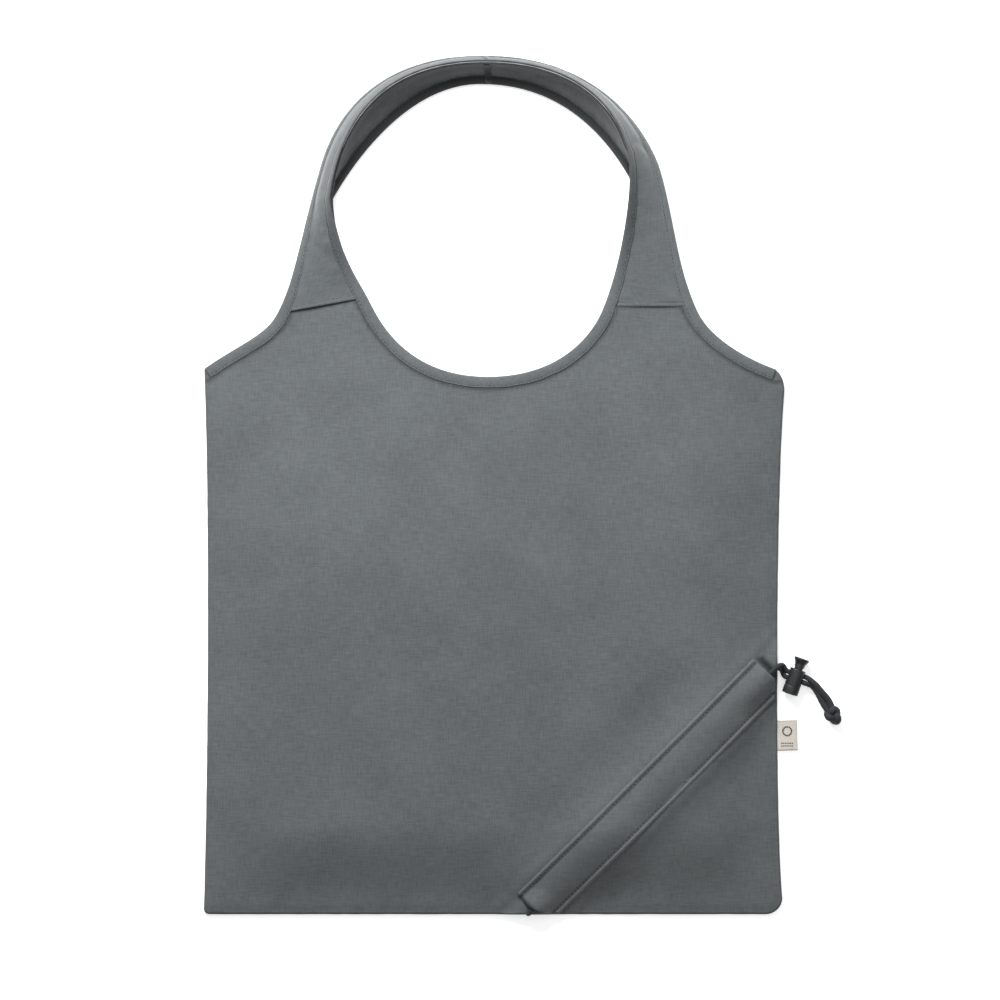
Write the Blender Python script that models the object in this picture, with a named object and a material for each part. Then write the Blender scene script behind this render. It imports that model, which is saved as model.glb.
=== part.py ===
"""Foldable tote bag, lying on its back, with a drawcord casing across one lower corner.

Bag coordinates: X across, Y from the bottom seam towards the handles, Z up from the surface
that the bag lies on. Sizes are in metres. The bag stands in the empty "bag_frame", which
centres it on the world's origin.
"""

import math

import bmesh
import bpy
from mathutils import Matrix, Vector
from mathutils.geometry import delaunay_2d_cdt

MM = 0.001
GAP = 0.3 * MM                  # between pieces that touch

# Sheets
SHEET = 1.0 * MM                # a panel or a handle strip, with its coating and folds
SEAM_SPACE = 2.0 * MM           # between the two panels at their seams, held open by the seam tape
PUFF = 12.0 * MM                # how far the empty bag stands open in its middle
PUFF_SIDE = 60.0 * MM           # distance from a seam at which it is fully open
PUFF_TOP = 190.0 * MM           # the same, from the shoulder seams
GAPE = 6.0 * MM                 # extra opening at the middle of the neckline
GRID = 21.0 * MM                # mesh size of the panels

# Outline
LEFT_X = -191.3 * MM
RIGHT_X = 192.0 * MM
SHOULDER_Y = 404.0 * MM
NECK_X = -3.0 * MM

# Edge bindings
BIND_WIDTH = 7.5 * MM           # on the panels
HANDLE_BIND_WIDTH = 6.2 * MM
BIND_WALL = 0.4 * MM
BIND_CLEAR = 0.45 * MM          # between a binding and the sheet inside it
BIND_OUT = 0.9 * MM             # how far a binding stands out past the sheet's edge
BIND_ROOM = 1.2 * MM            # the back panel's lift, for the binding under its top edges
BIND_LIFT = (240.0 * MM, 170.0 * MM)   # height above the bottom seam where it starts, and its reach

# Handles
STATIONS = 60                   # along the whole arch
RIDGE_Z = 24.0 * MM
RISE_LEFT = 0.17                # part of the arch in which the strips turn from flat to upright
RISE_RIGHT = 0.25
FRONT_STRIP_Z = BIND_ROOM + 1.5 * SHEET + SEAM_SPACE
BACK_STRIP_Z = BIND_ROOM + 0.5 * SHEET
BACK_STRIP_RISE = 0.8 * MM      # its further lift at the top of the arch
TUCK_GAP = 3.7 * MM             # between the front strip and the back one behind it
TUCK_SHORT = 1.0 * MM           # how far the back one stays short of the ridge
FOLD_Z = 6.2 * MM               # height of the axis on which both handles fold over

# Casing and drawcord
CORD = 3.4 * MM
CASING_SHEET = 0.8 * MM
CASING_LOW = Vector((26.2, 2.65)) * MM     # where its middle line meets the bottom seam
CASING_HIGH = Vector((183.0, 158.8)) * MM  # where it opens at the side seam
CORD_STEP = 2.4 * CORD
CORD_TURN = 4.6 * MM            # past the end of the casing, where the cord turns round the bottom seam
CASING_ROW = 13.0 * MM          # mesh size along the casing
BAND = [2.2 * MM, 8.5 * MM, 15.0 * MM, 24.0 * MM]   # mesh lines beside its middle line

# Cord lock
LOCK_CENTRE = Vector((201.1, 157.3, 5.45)) * MM    # middle of its cross slot
LOCK_TILT = math.radians(19.7)
BARREL_D = 10.9 * MM
BARREL_LENGTH = 17.4 * MM
BORE_D = 7.6 * MM
BASE = 1.2 * MM
SLOT_CENTRE = 12.2 * MM         # above the barrel's closed end
SLOT_HEIGHT = 8.2 * MM
SLOT_WIDTH = 4.2 * MM
SHAFT_D = 7.0 * MM
SHAFT_START = 7.2 * MM
TRAVEL = 3.0 * MM
FLARE_START = BARREL_LENGTH + TRAVEL + GAP
LOCK_LENGTH = 25.2 * MM
FLARE_D = 10.4 * MM
STRAND = 1.9 * MM               # each strand's distance from the middle of the slot

# Side label
LABEL_LOW = Vector((189.6, 108.0)) * MM
LABEL_SIZE = Vector((12.4, 20.6)) * MM
LABEL_Z = 0.3 * MM
LABEL_SHEET = 1.0 * MM

# Tapes
SEAM_TAPE_WIDTH = 8.0 * MM
SEAM_TAPE = 0.4 * MM            # its thickness on the side and bottom seams
TOP_TAPE = (0.85 * MM, 1.35 * MM)   # underside and top of the tape on a handle's centre seam
TOP_TAPE_SHARE = (0.36, 0.64)   # the part of the strip's width that it covers


def clear_scene():
    for old in list(bpy.data.objects):
        bpy.data.objects.remove(old, do_unlink=True)


def material(name, colour, roughness):
    made = bpy.data.materials.new(name)
    made.use_nodes = True
    shader = made.node_tree.nodes["Principled BSDF"]
    shader.inputs["Base Color"].default_value = (*colour, 1.0)
    shader.inputs["Roughness"].default_value = roughness
    shader.inputs["Metallic"].default_value = 0.0
    return made


def add_object(name, mesh, look, parent):
    made = bpy.data.objects.new(name, mesh)
    made.data.materials.append(look)
    bpy.context.collection.objects.link(made)
    made.parent = parent
    return made


def from_bmesh(name, shape, look, parent):
    bmesh.ops.recalc_face_normals(shape, faces=shape.faces)
    mesh = bpy.data.meshes.new(name)
    shape.to_mesh(mesh)
    shape.free()
    return add_object(name, mesh, look, parent)


def smooth(t):
    t = min(max(t, 0.0), 1.0)
    return t * t * (3.0 - 2.0 * t)


def bezier(start, pull_a, pull_b, end, count):
    """count points of a cubic curve, without its last one; the arguments are in millimetres."""
    corners = [Vector(p) * MM for p in (start, pull_a, pull_b, end)]
    points = []
    for i in range(count):
        t = i / count
        s = 1.0 - t
        weights = (s ** 3, 3 * s * s * t, 3 * s * t * t, t ** 3)
        points.append(sum((c * w for c, w in zip(corners, weights)), Vector((0.0, 0.0))))
    return points


def arc(centre_x, centre_y, radius, start, end, count):
    points = []
    for i in range(count + 1):
        turn = math.radians(start + (end - start) * i / count)
        points.append(Vector((centre_x + radius * math.cos(turn), centre_y + radius * math.sin(turn))))
    return points


def resample(points, count):
    """count points at even steps along a polyline."""
    lengths = [0.0]
    for a, b in zip(points, points[1:]):
        lengths.append(lengths[-1] + (b - a).length)
    placed = []
    k = 0
    for i in range(count):
        want = lengths[-1] * i / (count - 1)
        while k < len(points) - 2 and lengths[k + 1] < want:
            k += 1
        part = (want - lengths[k]) / (lengths[k + 1] - lengths[k])
        placed.append(points[k].lerp(points[k + 1], part))
    return placed


def through(points, step):
    """Points at even steps on a smooth curve through the given ones."""
    ends = [points[0] * 2 - points[1]] + list(points) + [points[-1] * 2 - points[-2]]
    fine = []
    for a, b, c, d in zip(ends, ends[1:], ends[2:], ends[3:]):
        for i in range(12):
            t = i / 12
            fine.append(0.5 * ((2 * b) + (c - a) * t + (2 * a - 5 * b + 4 * c - d) * t * t
                               + (3 * b - a - 3 * c + d) * t ** 3))
    fine.append(points[-1])
    length = sum((b - a).length for a, b in zip(fine, fine[1:]))
    return resample(fine, max(3, round(length / step) + 1))


# ---------------------------------------------------------------- edges of the cut pieces

def left_armhole():
    return bezier((-191, 361), (-170, 376), (-148, 384), (-141, 399.2), 9) + [Vector((-141, 399.2)) * MM]


def right_armhole():
    return bezier((188.2, 360.4), (160, 370.5), (139, 387), (133, 403.7), 9) + [Vector((133, 403.7)) * MM]


def neckline():
    left = bezier((-84, 409.7), (-74, 386), (-52, 355.5), (-3, 355.5), 10)
    right = bezier((-3, 355.5), (42, 355.5), (66, 380), (75.4, 403.7), 10)
    return left + right + [Vector((75.4, 403.7)) * MM]


def panel_outline():
    """Anticlockwise, from the lower left corner."""
    corner = 10.6 * MM
    outline = arc(LEFT_X + 3 * MM, 3 * MM, 3 * MM, 180, 270, 3)
    seam_start, seam_end = LEFT_X + 3 * MM, RIGHT_X - corner
    steps = 36
    outline += [Vector((seam_start + (seam_end - seam_start) * i / steps, 0.0)) for i in range(1, steps)]
    outline += arc(RIGHT_X - corner, corner, corner, 270, 360, 5)
    outline += bezier((192, 10.6), (187, 60), (187.5, 280), (193.3, 346), 26)[1:]
    outline += bezier((193.3, 346), (193.6, 352), (192, 358), (188.2, 360.4), 3)
    outline += right_armhole()
    outline += list(reversed(neckline()))
    outline += list(reversed(left_armhole()))
    outline += bezier((-191, 361), (-188, 300), (-187.5, 120), (-191.3, 3), 16)[1:]
    return outline


def outer_edge():
    """The armhole side of the handles, from the left shoulder seam over the top to the right one."""
    return (bezier((-141, 399.9), (-131, 418), (-124, 462), (-114.9, 491.6), 12)
            + bezier((-114.9, 491.6), (-103, 540), (-66, 570), (-5, 569), 14)
            + bezier((-5, 569), (54, 569.5), (94, 538), (109.5, 497), 14)
            + bezier((109.5, 497), (118.5, 469), (121, 432), (133, 404.4), 12)
            + [Vector((133, 404.4)) * MM])


def front_inner_edge():
    return (bezier((-84, 410.4), (-97, 428), (-106.5, 455), (-108, 474), 12)
            + bezier((-108, 474), (-100, 536), (-64, 565.5), (-5, 565.2), 14)
            + bezier((-5, 565.2), (50, 565.5), (84, 540), (91.2, 498.2), 14)
            + bezier((91.2, 498.2), (93, 475), (86, 432), (75.4, 404.4), 12)
            + [Vector((75.4, 404.4)) * MM])


def back_inner_edge():
    return (bezier((-85, 410.2), (-98, 430), (-107, 456), (-106.5, 475), 12)
            + bezier((-106.5, 475), (-97, 492), (-60, 551.5), (-8, 551.5), 14)
            + bezier((-8, 551.5), (38, 551.5), (70, 527), (92, 488), 14)
            + bezier((92, 488), (93, 470), (86, 432), (76, 404.4), 12)
            + [Vector((76, 404.4)) * MM])


# ---------------------------------------------------------------- heights

CASING_ALONG = (CASING_HIGH - CASING_LOW).normalized()
CASING_ACROSS = Vector((-CASING_ALONG.y, CASING_ALONG.x))


def casing_place(x, y):
    """Distances along and across the casing's middle line."""
    at = Vector((x, y)) - CASING_LOW
    return at.dot(CASING_ALONG), abs(at.dot(CASING_ACROSS))


def casing_grid():
    """Rows of points along the casing, close enough together for the fold over the cord."""
    points = []
    for row in range(-2, 19):
        for across in BAND:
            for side in (-1.0, 1.0):
                points.append(CASING_LOW + CASING_ALONG * row * CASING_ROW + CASING_ACROSS * across * side)
    return points


def back_z(x, y):
    """Underside of the back panel: flat, but lifted by the casing under it and by the top bindings."""
    along, across = casing_place(x, y)
    cord_room = CASING_SHEET + CORD + 3 * GAP
    flat_room = CASING_SHEET + GAP
    low = flat_room * smooth((24 * MM - across) / (8 * MM))
    high = (cord_room - flat_room) * smooth((15 * MM - across) / (13 * MM))
    ends = smooth((along + 30 * MM) / (16 * MM))
    top = BIND_ROOM * smooth((y - BIND_LIFT[0]) / BIND_LIFT[1])
    return (low + high) * ends + top


def front_z(x, y):
    """Underside of the front panel."""
    side = min(x - LEFT_X, RIGHT_X - 3 * MM - x)
    puff = PUFF * smooth(side / PUFF_SIDE) * smooth(y / PUFF_SIDE) * smooth((SHOULDER_Y - y) / PUFF_TOP)
    gape = GAPE * math.exp(-((x - NECK_X) / (45 * MM)) ** 2) * smooth((y - 250 * MM) / (90 * MM))
    return back_z(x, y) + SHEET + SEAM_SPACE + puff + gape


def casing_front_z(x, y):
    """Underside of the front casing strip, raised along its middle by the cord."""
    across = casing_place(x, y)[1]
    return front_z(x, y) + SHEET + 3 * GAP + (CORD + 3 * GAP) * smooth((15 * MM - across) / (13 * MM))


# ---------------------------------------------------------------- builders

def sheet(name, outline, grid, under, thickness, look, parent):
    """A flat cut piece whose underside follows under(x, y)."""
    xs = [p.x for p in outline]
    ys = [p.y for p in outline]
    points = [Vector(p) for p in outline]
    count = len(points)
    wanted = [p for p in casing_grid() if inside(p.x, p.y, outline)]
    for row in range(int((max(ys) - min(ys)) / grid) + 1):
        for column in range(int((max(xs) - min(xs)) / grid) + 1):
            x = min(xs) + (column + 0.5 + 0.5 * (row % 2)) * grid
            y = min(ys) + (row + 0.5) * grid
            along, across = casing_place(x, y)
            in_band = across < BAND[-1] + 0.4 * grid and along > -CASING_ROW * 3 and grid > CASING_ROW
            if inside(x, y, outline) and not in_band:
                wanted.append(Vector((x, y)))
    for point in wanted:
        if min((p - point).length for p in outline) > 0.25 * min(grid, GRID):
            points.append(point)
    flat, _, faces, _, _, _ = delaunay_2d_cdt(points, [], [list(range(count))], 1, 1e-7)
    shape = bmesh.new()
    lower = [shape.verts.new((p.x, p.y, under(p.x, p.y))) for p in flat]
    upper = [shape.verts.new((p.x, p.y, under(p.x, p.y) + thickness)) for p in flat]
    for face in faces:
        shape.faces.new([lower[i] for i in reversed(face)])
        shape.faces.new([upper[i] for i in face])
    for i in range(count):
        j = (i + 1) % count
        shape.faces.new([lower[i], lower[j], upper[j], upper[i]])
    bmesh.ops.triangulate(shape, faces=shape.faces)
    return from_bmesh(name, shape, look, parent)


def inside(x, y, outline):
    found = False
    for a, b in zip(outline, outline[1:] + outline[:1]):
        if (a.y > y) != (b.y > y) and x < a.x + (y - a.y) * (b.x - a.x) / (b.y - a.y):
            found = not found
    return found


def tube_of_rings(name, rings, look, parent):
    """A closed solid from equal rings of points, with flat ends."""
    shape = bmesh.new()
    made = [[shape.verts.new(p) for p in ring] for ring in rings]
    size = len(rings[0])
    for a, b in zip(made, made[1:]):
        for i in range(size):
            j = (i + 1) % size
            shape.faces.new([a[i], a[j], b[j]])
            shape.faces.new([a[i], b[j], b[i]])
    shape.faces.new(made[0])
    shape.faces.new(made[-1])
    bmesh.ops.triangulate(shape, faces=shape.faces)
    return from_bmesh(name, shape, look, parent)


def strip_normals(side_a, side_b):
    """The strip's normal at each pair of points on its two edges."""
    normals = []
    for i, (a, b) in enumerate(zip(side_a, side_b)):
        j = min(i + 1, len(side_a) - 1)
        k = max(i - 1, 0)
        forward = (side_a[j] + side_b[j]) - (side_a[k] + side_b[k])
        normals.append(forward.cross(b - a).normalized())
    return normals


def strip(name, side_a, side_b, normals, thickness, look, parent):
    """A ruled strip between two edges, thickened to both sides."""
    rings = []
    for a, b, normal in zip(side_a, side_b, normals):
        inset = (b - a).normalized() * (HANDLE_BIND_WIDTH - BIND_OUT)
        across = [a, a + inset, (a + b) / 2, b - inset, b]
        up = normal * thickness / 2
        down = -up
        rings.append([p + up for p in across] + [p + down for p in reversed(across)])
    return tube_of_rings(name, rings, look, parent)


def binding(name, edge, inward, normals, width, look, parent, mirrored=False):
    """A folded tape round a sheet's edge; inward points from the edge into the sheet."""
    half = SHEET / 2 + BIND_CLEAR
    outer = half + BIND_WALL
    deep = width - BIND_OUT
    section = [(-BIND_OUT, -outer), (deep, -outer), (deep, -half), (-GAP, -half),
               (-GAP, half), (deep, half), (deep, outer), (-BIND_OUT, outer)]
    if mirrored:
        section.reverse()
    rings = []
    for point, into, normal in zip(edge, inward, normals):
        into = into.normalized()
        rings.append([point + into * a + normal * b for a, b in section])
    return tube_of_rings(name, rings, look, parent)


def cord(name, points, look, parent):
    line = bpy.data.curves.new(name, "CURVE")
    line.dimensions = "3D"
    line.bevel_depth = CORD / 2
    line.bevel_resolution = 2
    line.use_fill_caps = True
    line.resolution_u = 1
    line.render_resolution_u = 0
    spline = line.splines.new("POLY")
    spline.points.add(len(points) - 1)
    for made, point in zip(spline.points, points):
        made.co = (*point, 1.0)
    return add_object(name, line, look, parent)


def turned(profile, segments):
    """A solid turned round Z from (radius, height) points, the first and last on the axis."""
    shape = bmesh.new()
    rings = []
    for radius, height in profile:
        if radius == 0.0:
            rings.append([shape.verts.new((0.0, 0.0, height))])
            continue
        turns = [2 * math.pi * i / segments for i in range(segments)]
        rings.append([shape.verts.new((radius * math.cos(t), radius * math.sin(t), height)) for t in turns])
    for a, b in zip(rings, rings[1:]):
        for i in range(segments):
            j = (i + 1) % segments
            if len(a) == 1:
                shape.faces.new([a[0], b[i], b[j]])
            elif len(b) == 1:
                shape.faces.new([a[i], a[j], b[0]])
            else:
                shape.faces.new([a[i], a[j], b[j], b[i]])
    return shape


def cut_slot(target, centre_height, height, width, depth):
    """Cuts the cord's slot through a turned piece, across its axis."""
    shape = bmesh.new()
    bmesh.ops.create_cube(shape, size=1.0)
    bmesh.ops.scale(shape, vec=(depth, width, height), verts=shape.verts)
    bmesh.ops.translate(shape, vec=(0.0, 0.0, centre_height), verts=shape.verts)
    cutter = from_bmesh(target.name + "_cutter", shape, target.data.materials[0], target)
    cutter.hide_render = True
    cutter.display_type = "WIRE"
    cut = target.modifiers.new("slot", "BOOLEAN")
    cut.operation = "DIFFERENCE"
    cut.solver = "EXACT"
    cut.object = cutter


# ---------------------------------------------------------------- the bag's pieces

def make_panels(fabric, parent):
    outline = panel_outline()
    sheet("back_panel", outline, GRID, back_z, SHEET, fabric, parent)
    sheet("front_panel", outline, GRID, front_z, SHEET, fabric, parent)


def make_panel_bindings(fabric, parent):
    """Bindings on the neckline and the two armholes of each panel."""
    edges = {"neck_binding": neckline(), "armhole_binding_left": left_armhole(),
             "armhole_binding_right": right_armhole()}
    for side, under in (("front", front_z), ("back", back_z)):
        for name, line in edges.items():
            count = len(line)
            if name != "neck_binding":
                line[0] = line[0].lerp(line[1], 0.5)
            edge = [Vector((p.x, p.y, under(p.x, p.y) + SHEET / 2)) for p in line]
            turn = -1.0 if name == "armhole_binding_right" else 1.0
            inward, normals = [], []
            for i in range(count):
                forward = edge[min(i + 1, count - 1)] - edge[max(i - 1, 0)]
                into = Vector((forward.y, -forward.x, 0.0)).normalized() * turn * 0.5 * GRID
                into.z = under(edge[i].x + into.x, edge[i].y + into.y) - under(edge[i].x, edge[i].y)
                inward.append(into)
                normals.append(into.cross(forward).normalized() * turn)
            binding(f"{name}_{side}", edge, inward, normals, BIND_WIDTH, fabric, parent)


def handle_edges():
    """Edges of both handle loops, in space: front outer, front inner, back outer, back inner."""
    outer = resample(outer_edge(), STATIONS + 1)
    ridge = resample(front_inner_edge(), STATIONS + 1)
    inner = resample(back_inner_edge(), STATIONS + 1)
    front_out, front_in, back_out, back_in = [], [], [], []
    for i in range(STATIONS + 1):
        s = i / STATIONS
        rise = smooth(s / RISE_LEFT) if s < 0.5 else smooth((1.0 - s) / RISE_RIGHT)
        low = FRONT_STRIP_Z + (1.6 * MM - FRONT_STRIP_Z) * rise ** 4
        high = FRONT_STRIP_Z + (RIDGE_Z - FRONT_STRIP_Z) * rise
        a = Vector((*outer[i], low))
        b = Vector((*ridge[i], high))
        across = (b - a).normalized()
        reach = (b - a).length
        forward = outer[min(i + 1, STATIONS)] - outer[max(i - 1, 0)]
        below = Vector((*forward, 0.0)).cross(across).normalized() * TUCK_GAP
        front_out.append(a)
        front_in.append(b)
        drop = BACK_STRIP_Z - FRONT_STRIP_Z
        tucked = a + across * (reach - TUCK_SHORT) * rise ** 3 + below * min(1.0, 1.7 * rise)
        tucked.z = max(tucked.z + drop * (1.0 - rise), BACK_STRIP_Z + BACK_STRIP_RISE * rise)
        back_out.append(tucked)
        back_in.append(Vector((*inner[i], BACK_STRIP_Z + BACK_STRIP_RISE * rise)))
    return front_out, front_in, back_out, back_in


def make_handles(fabric, parents):
    front_out, front_in, back_out, back_in = handle_edges()
    half = STATIONS // 2
    for side, out, inn in (("front", front_out, front_in), ("back", back_out, back_in)):
        parent = parents[side]
        normals = strip_normals(out, inn)
        left_out, left_in = out[:half + 1], inn[:half + 1]
        step = GAP / (left_out[-1] - left_out[-2]).length
        left_out[-1] = left_out[-1].lerp(left_out[-2], step)
        left_in[-1] = left_in[-1].lerp(left_in[-2], step)
        strip(f"{side}_handle_left", left_out, left_in, normals[:half + 1], SHEET, fabric, parent)
        strip(f"{side}_handle_right", out[half:], inn[half:], normals[half:], SHEET, fabric, parent)
        inward = [b - a for a, b in zip(out, inn)]
        outward = [a - b for a, b in zip(out, inn)]
        width = HANDLE_BIND_WIDTH
        binding(f"{side}_handle_outer_binding", out, inward, normals, width, fabric, parent)
        binding(f"{side}_handle_inner_binding", inn, outward, normals, width, fabric, parent, mirrored=True)
        tape_a, tape_b, tape_normals = [], [], []
        for k in (half - 1, half + 1):
            a = out[half].lerp(out[k], SEAM_TAPE_WIDTH / 2 / (out[k] - out[half]).length)
            b = inn[half].lerp(inn[k], SEAM_TAPE_WIDTH / 2 / (out[k] - out[half]).length)
            tape_a.append(a.lerp(b, TOP_TAPE_SHARE[0]))
            tape_b.append(a.lerp(b, TOP_TAPE_SHARE[1]))
            tape_normals.append(normals[half])
        tape_rings = []
        for a, b, normal in zip(tape_a, tape_b, tape_normals):
            up, down = normal * TOP_TAPE[1], normal * TOP_TAPE[0]
            tape_rings.append([a + up, b + up, b + down, a + down])
        tube_of_rings(f"{side}_handle_seam_tape", tape_rings, fabric, parent)


# name, middle line, lower end and upper end of each side's tape
SIDE_TAPES = (("side_seam_tape_left", LEFT_X + 9 * MM, 14 * MM, 340 * MM),
              ("side_seam_tape_right", RIGHT_X - 11 * MM, 22 * MM, 340 * MM))
BOTTOM_TAPE_X = (LEFT_X + 10 * MM, RIGHT_X - 20 * MM)
BOTTOM_TAPE_Y = (1.5 * MM, 9.5 * MM)
TAPE_GRID = 40 * MM


def make_seam_tapes(fabric, parent):
    """Tapes over the raw edges inside the side seams and the bottom seam."""
    def tape_z(x, y):
        near = 1.5 * MM
        under = max(back_z(x + dx, y + dy) for dx in (-near, 0.0, near) for dy in (-near, 0.0, near))
        return under + SHEET + 2.0 * GAP

    half = SEAM_TAPE_WIDTH / 2
    count = 30
    for name, x, low, high in SIDE_TAPES:
        ys = [low + (high - low) * i / count for i in range(count + 1)]
        outline = [Vector((x - half, y)) for y in reversed(ys)] + [Vector((x + half, y)) for y in ys]
        sheet(name, outline, TAPE_GRID, tape_z, SEAM_TAPE, fabric, parent)
    count = 40
    left, right = BOTTOM_TAPE_X
    low, high = BOTTOM_TAPE_Y
    xs = [left + (right - left) * i / count for i in range(count + 1)]
    outline = [Vector((x, low)) for x in xs] + [Vector((x, high)) for x in reversed(xs)]
    sheet("bottom_seam_tape", outline, TAPE_GRID, tape_z, SEAM_TAPE, fabric, parent)


def make_casings(fabric, parent):
    """The two strips of the cord's channel, clipped by the bottom seam and the side seam."""
    corners = [(16.5, 13.0), (31.5, 0.8), (44.5, 0.8), (187.2, 142.5), (187.2, 156.0), (172.4, 169.5)]
    counts = [3, 2, 16, 2, 3, 16]
    outline = []
    for i, count in enumerate(counts):
        a = Vector(corners[i]) * MM
        b = Vector(corners[(i + 1) % len(corners)]) * MM
        outline += [a.lerp(b, k / count) for k in range(count)]
    sheet("casing_front", outline, 9.0 * MM, casing_front_z, CASING_SHEET, fabric, parent)
    sheet("casing_back", outline, 60.0 * MM, lambda x, y: 0.0, CASING_SHEET, fabric, parent)


def cord_points_in_casing():
    """From the front channel's mouth to the bottom seam, round it, and back up the back channel."""
    low_z = CASING_SHEET + GAP + CORD / 2
    ends = []
    for i in range(17):
        at = CASING_HIGH.lerp(CASING_LOW, i / 16)
        ends.append(Vector((*at, front_z(*at) + SHEET + 2 * GAP + CORD / 2)))
    turn_top = ends[-1]
    rise = (turn_top.z - low_z) / 2
    for k in range(1, 6):
        angle = math.pi * k / 6
        at = CASING_LOW - CASING_ALONG * (CORD_TURN + rise * math.sin(angle))
        ends.append(Vector((*at, low_z + rise * (1.0 + math.cos(angle)))))
    for i in range(17):
        at = CASING_LOW.lerp(CASING_HIGH, i / 16)
        ends.append(Vector((*at, low_z)))
    return through(ends, CORD_STEP)


LOCK_UP = Vector((math.sin(LOCK_TILT), math.cos(LOCK_TILT), 0.0))
LOCK_ALONG = Vector((math.cos(LOCK_TILT), -math.sin(LOCK_TILT), 0.0))
KNOT_CENTRE = Vector((226.1, 131.8, 5.7)) * MM
KNOT_SIZE = Vector((5.6, 6.6, 5.6)) * MM
TAIL_ACROSS = Vector((0.84, 0.54, 0.0))     # from one strand of the tail to the other


def strand_route(side, mouth):
    """A free cord end, from its mouth through the lock to the knot; side is +1 above, -1 below."""
    middle = LOCK_CENTRE + LOCK_UP * STRAND * side
    points = list(mouth)
    for along in (-7.0, -2.0, 3.5, 9.2):
        points.append(middle + LOCK_ALONG * along * MM)
    tail = [Vector((216.2, 148.2, 4.7)) * MM, Vector((221.2, 140.6, 4.8)) * MM,
            KNOT_CENTRE + Vector((-3.2, 5.9, -0.2)) * MM]
    across = TAIL_ACROSS * (STRAND + 0.25 * MM) * side
    return points + [p + across for p in tail]


def make_cords(look, parent):
    whole = cord_points_in_casing()
    cord("drawcord_in_casing", whole, look, parent)
    first, last = whole[0], whole[-1]
    along = Vector((*CASING_ALONG, 0.0))
    front_mouth = [first + along * (GAP * 1.3), Vector((188.6, 163.9, first.z / MM - 0.3)) * MM,
                   Vector((192.4, 164.9, 7.0)) * MM]
    back_mouth = [last + along * (GAP * 1.3), Vector((187.4, 163.0, 2.65)) * MM,
                  Vector((191.4, 162.4, 2.9)) * MM]
    cord("cord_end_front", through(strand_route(1, front_mouth), 1.4 * CORD), look, parent)
    cord("cord_end_back", through(strand_route(-1, back_mouth), 1.4 * CORD), look, parent)


def make_knot(look, parent):
    shape = bmesh.new()
    bmesh.ops.create_icosphere(shape, subdivisions=3, radius=1.0)
    bmesh.ops.scale(shape, vec=KNOT_SIZE, verts=shape.verts)
    knot = from_bmesh("cord_knot", shape, look, parent)
    knot.location = KNOT_CENTRE
    knot.rotation_euler = (0.0, 0.0, math.radians(30.0))
    knot.data.shade_smooth()


def lock_matrix():
    """Local Z along the lock's axis, local X along its slot, from the barrel's closed end."""
    across = LOCK_UP.cross(LOCK_ALONG)
    turn = Matrix((LOCK_ALONG, across, LOCK_UP)).transposed().to_4x4()
    return Matrix.Translation(LOCK_CENTRE - LOCK_UP * SLOT_CENTRE) @ turn


def make_lock(plastic, steel, barrel_parent, plunger_parent):
    place = lock_matrix()
    outer, bore, shaft = BARREL_D / 2, BORE_D / 2, SHAFT_D / 2
    edge = 0.6 * MM
    top = BARREL_LENGTH
    barrel = turned([(0.0, 0.0), (outer - edge, 0.0), (outer, edge), (outer, top - edge),
                     (outer - edge, top), (bore, top), (bore, BASE), (0.0, BASE)], 28)
    barrel = from_bmesh("cord_lock_barrel", barrel, plastic, barrel_parent)
    barrel.matrix_local = place
    cut_slot(barrel, SLOT_CENTRE, SLOT_HEIGHT, SLOT_WIDTH, 14 * MM)

    flare = FLARE_D / 2
    plunger = turned([(0.0, SHAFT_START), (shaft, SHAFT_START), (shaft, FLARE_START),
                      (shaft + 0.45 * MM, FLARE_START + 0.5 * MM), (flare, LOCK_LENGTH - 0.7 * MM),
                      (flare, LOCK_LENGTH), (0.0, LOCK_LENGTH)], 28)
    plunger = from_bmesh("cord_lock_plunger", plunger, plastic, plunger_parent)
    plunger.matrix_local = place
    slot_low = SLOT_CENTRE - STRAND - CORD / 2 - 0.35 * MM
    slot_high = SLOT_CENTRE + STRAND + CORD / 2 + 0.35 * MM + TRAVEL
    cut_slot(plunger, (slot_low + slot_high) / 2, slot_high - slot_low, SLOT_WIDTH, 14 * MM)

    wire = 0.5 * MM
    low, high = BASE + GAP + wire / 2, SHAFT_START - GAP - wire / 2
    turns, steps = 4.5, 54
    rings = []
    radius = bore - 0.5 * MM - wire / 2
    for i in range(steps + 1):
        angle = 2 * math.pi * turns * i / steps
        centre = Vector((radius * math.cos(angle), radius * math.sin(angle), low + (high - low) * i / steps))
        outwards = Vector((math.cos(angle), math.sin(angle), 0.0))
        ring = []
        for k in range(6):
            turn = math.pi * k / 3
            ring.append(centre + (outwards * math.cos(turn) + Vector((0, 0, math.sin(turn)))) * wire / 2)
        rings.append(ring)
    spring = tube_of_rings("cord_lock_spring", rings, steel, barrel_parent)
    spring.matrix_local = place


def make_label(look, parent):
    """A folded tape that stands out of the side seam, slightly askew."""
    x, y = LABEL_LOW
    wide, tall = LABEL_SIZE
    skew = 0.5 * MM
    outline = [Vector((x, y)), Vector((x + wide / 2, y + skew / 2)), Vector((x + wide, y + skew)),
               Vector((x + wide - skew, y + tall)), Vector((x, y + tall - skew))]
    sheet("side_label", outline, 5 * MM, lambda px, py: LABEL_Z, LABEL_SHEET, look, parent)


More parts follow.
